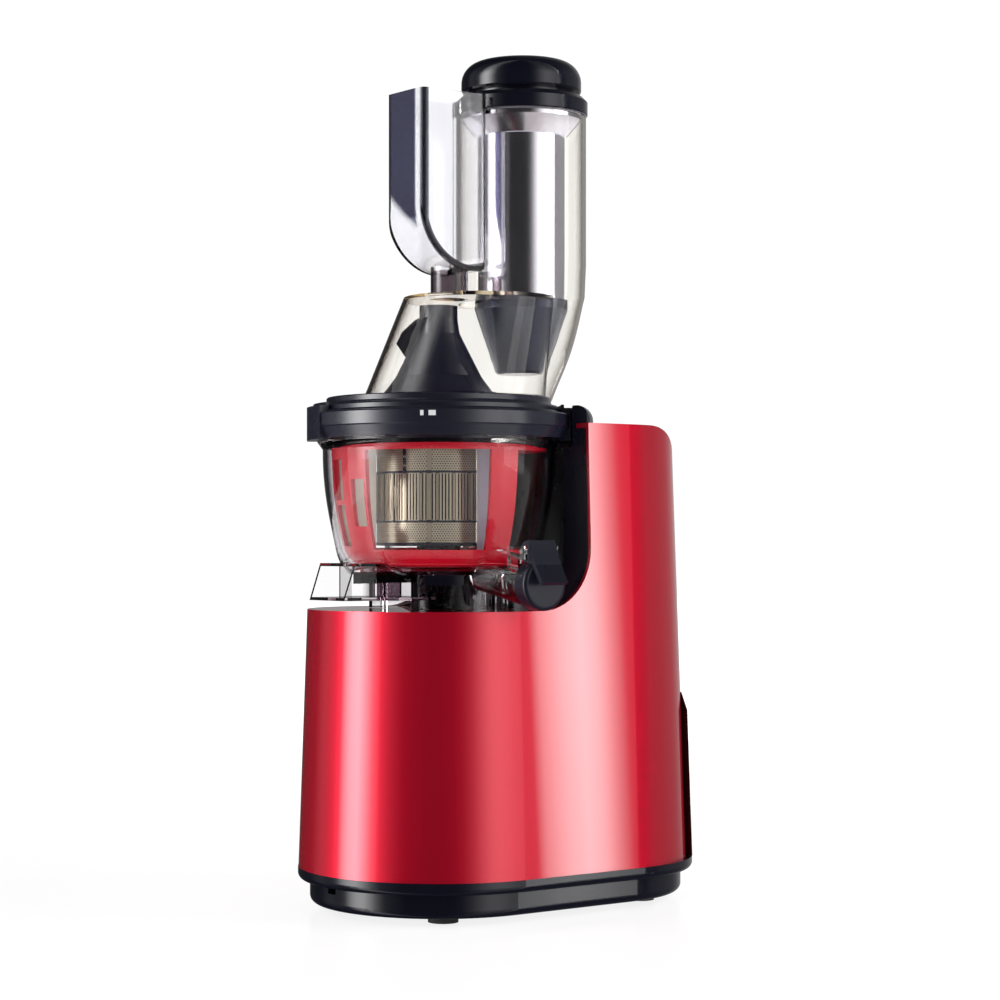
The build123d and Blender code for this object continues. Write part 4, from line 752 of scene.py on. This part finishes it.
# %% Places of the flat cells
def flat_places(tree, given):
    """Place of each cell in rows on the XZ plane, every other row moved by half a cell."""
    index = add(tree, "GeometryNodeInputIndex", -1300).outputs[0]
    row = calc(tree, "FLOOR", calc(tree, "DIVIDE", index, given["Around"], -1100))
    column = calc(tree, "SUBTRACT", index, calc(tree, "MULTIPLY", row, given["Around"], -900))
    shift = calc(tree, "MULTIPLY", calc(tree, "MODULO", row, 2.0), 0.5)
    around = calc(tree, "MULTIPLY", given["Radius"], 2 * math.pi, -900)
    pitch = calc(tree, "DIVIDE", around, given["Around"])
    rise = calc(tree, "DIVIDE", given["Height"], given["Rows"])
    middle = calc(tree, "MULTIPLY", calc(tree, "ADD", row, 0.5), rise)
    flat = add(tree, "ShaderNodeCombineXYZ", -300)
    feed(tree, flat.inputs["X"], calc(tree, "MULTIPLY", calc(tree, "ADD", column, shift), pitch))
    feed(tree, flat.inputs["Z"], calc(tree, "ADD", given["Low"], middle))
    return flat.outputs[0]


# %% Places after rolling
def rolled_places(tree, radius):
    """Place of each point once the plane is rolled about Z, so that X runs round the tube."""
    parts = add(tree, "ShaderNodeSeparateXYZ", -300, -400)
    feed(tree, parts.inputs[0], add(tree, "GeometryNodeInputPosition", -500, -400).outputs[0])
    turn = calc(tree, "DIVIDE", parts.outputs["X"], radius)
    rolled = add(tree, "ShaderNodeCombineXYZ", 100, -400)
    feed(tree, rolled.inputs["X"], calc(tree, "MULTIPLY", radius, calc(tree, "COSINE", turn)))
    feed(tree, rolled.inputs["Y"], calc(tree, "MULTIPLY", radius, calc(tree, "SINE", turn)))
    feed(tree, rolled.inputs["Z"], parts.outputs["Z"])
    return rolled.outputs[0]


# %% The whole tree
weld_distance = 0.01 * MM


def rolled_field_tree():
    """Geometry Nodes: cells on a flat field, rolled into a tube, welded and given their finish."""
    tree, given, result = new_field_tree("rolled_field")
    points = add(tree, "GeometryNodePoints", -100)
    feed(tree, points.inputs["Count"], calc(tree, "MULTIPLY", given["Around"], given["Rows"]))
    feed(tree, points.inputs["Position"], flat_places(tree, given))
    source = add(tree, "GeometryNodeObjectInfo", -100, 200)
    feed(tree, source.inputs["Object"], given["Cell"])
    cells = add(tree, "GeometryNodeInstanceOnPoints", 100)
    feed(tree, cells.inputs["Points"], points.outputs[0])
    feed(tree, cells.inputs["Instance"], source.outputs["Geometry"])
    real = add(tree, "GeometryNodeRealizeInstances", 300)
    feed(tree, real.inputs[0], cells.outputs[0])
    roll = add(tree, "GeometryNodeSetPosition", 450)
    feed(tree, roll.inputs["Geometry"], real.outputs[0])
    feed(tree, roll.inputs["Position"], rolled_places(tree, given["Radius"]))
    weld = add(tree, "GeometryNodeMergeByDistance", 600, Distance=weld_distance)
    feed(tree, weld.inputs["Geometry"], roll.outputs[0])
    finish = add(tree, "GeometryNodeSetMaterial", 750)
    feed(tree, finish.inputs["Geometry"], weld.outputs[0])
    feed(tree, finish.inputs["Material"], given["Finish"])
    feed(tree, result.inputs[0], finish.outputs[0])
    return tree


rolled_field = rolled_field_tree()
print("rolled field nodes", len(rolled_field.nodes))

# %% [markdown]
# ## From trees to plain meshes
# A piece that leaves this file has to be a plain mesh. So each band is grown on an empty holder and
# its evaluated mesh is kept, the three bands are joined, and the wall that Solidify gives them is
# kept in the same way.

# %% Growing, joining and thickening
def grown(name, tree, **values):
    """Runs a node tree on an empty mesh and keeps the result as a plain object."""
    holder = bpy.data.objects.new(name + "_holder", bpy.data.meshes.new(name + "_holder"))
    bpy.context.scene.collection.objects.link(holder)
    modifier = holder.modifiers.new("grow", "NODES")
    modifier.node_group = tree
    for item in tree.interface.items_tree:
        if item.item_type == "SOCKET" and item.in_out == "INPUT" and item.name in values:
            modifier[item.identifier] = values[item.name]
    graph = bpy.context.evaluated_depsgraph_get()
    mesh = bpy.data.meshes.new_from_object(holder.evaluated_get(graph))
    bpy.data.objects.remove(holder)
    mesh.name = name
    piece = bpy.data.objects.new(name, mesh)
    bpy.context.scene.collection.objects.link(piece)
    print(name, "faces", len(mesh.polygons))
    return piece


def joined(name, pieces):
    """One mesh object from several, in place."""
    mesh = bpy.data.meshes.new(name)
    work = bmesh.new()
    for piece in pieces:
        work.from_mesh(piece.data)
    work.to_mesh(mesh)
    work.free()
    for slot_material in pieces[0].data.materials:
        mesh.materials.append(slot_material)
    for piece in pieces:
        bpy.data.objects.remove(piece)
    whole = bpy.data.objects.new(name, mesh)
    bpy.context.scene.collection.objects.link(whole)
    print(name, "faces", len(mesh.polygons))
    return whole


def thickened(piece, thickness):
    """Gives a sheet its wall, half to each side, and keeps the result as the piece's mesh."""
    modifier = piece.modifiers.new("wall", "SOLIDIFY")
    modifier.thickness = thickness
    modifier.offset = 0.0
    graph = bpy.context.evaluated_depsgraph_get()
    mesh = bpy.data.meshes.new_from_object(piece.evaluated_get(graph))
    piece.modifiers.remove(modifier)
    piece.data = mesh
    print(piece.name, "faces with wall", len(mesh.polygons))
    return piece


# %% Drilled bands and slots of the strainer
sheet_wall = 0.4 * MM
strainer_radius = mesh_high.x - sheet_wall / 2
lower_line = mesh_low.z + lower_band
upper_line = mesh_high.z - upper_band
holes_around = 150
slots_around = 120


def band(name, around, rows, low, high, hole=round_hole, corner=round_corner):
    """One rolled field between two heights, with cells that just fill it."""
    cell_width = 2 * math.pi * strainer_radius / around
    cell = drilled_cell(name + "_cell", cell_width, (high - low) / rows, hole, corner)
    return grown(name, rolled_field, Cell=cell, Around=around, Rows=rows, Radius=strainer_radius,
                 Low=low, Height=high - low, Finish=steel)


strainer = joined("strainer_sheet", [
    band("lower_holes", holes_around, 10, mesh_low.z, lower_line),
    band("slots", slots_around, 1, lower_line, upper_line, slot_hole, slot_corner),
    band("upper_holes", holes_around, 15, upper_line, mesh_high.z),
])
thickened(strainer, sheet_wall)
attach(strainer, "bowl")
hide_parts("strainer_mesh")

# %% [markdown]
# ## Alignment dashes
# Four short dark dashes stand one above the other on the strainer's upper band. Each is a thin
# curved plate on the steel. There are only four, so a short function makes one and a loop repeats
# it down the band.

# %% One dash
dash_height = 4.0 * MM
dash_azimuth = math.radians(-69)
dash_half_angle = math.radians(1.5)
dash_inner = strainer_radius + 0.15 * MM
dash_outer = strainer_radius + 0.55 * MM
dash_steps = 3


def add_dash(work, top):
    """Closed curved plate that hangs down from a height."""
    foot = top - dash_height
    corners = ((dash_inner, foot), (dash_outer, foot), (dash_outer, top), (dash_inner, top))
    columns = []
    for number in range(dash_steps + 1):
        turn = dash_azimuth + dash_half_angle * (2 * number / dash_steps - 1)
        columns.append([work.verts.new((radius * math.cos(turn), radius * math.sin(turn), z))
                        for radius, z in corners])
    for near, far in zip(columns, columns[1:]):
        for side in range(4):
            work.faces.new((near[side], far[side], far[(side + 1) % 4], near[(side + 1) % 4]))
    work.faces.new(columns[0])
    work.faces.new(columns[-1][::-1])


print("dash", round(dash_height / MM, 1), "mm high")

# %% Dashes on the upper band
dash_count = 4
dash_pitch = 5.3 * MM
first_top = mesh_high.z - 1.2 * MM

work = bmesh.new()
for number in range(dash_count):
    add_dash(work, first_top - number * dash_pitch)
bmesh.ops.recalc_face_normals(work, faces=work.faces)
dash_mesh = bpy.data.meshes.new("strainer_dashes")
work.to_mesh(dash_mesh)
work.free()
dash_mesh.materials.append(auger_black)
dashes = bpy.data.objects.new("strainer_dashes", dash_mesh)
bpy.context.scene.collection.objects.link(dashes)
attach(dashes, "bowl")
print("dashes", dash_count, "faces", len(dash_mesh.polygons))
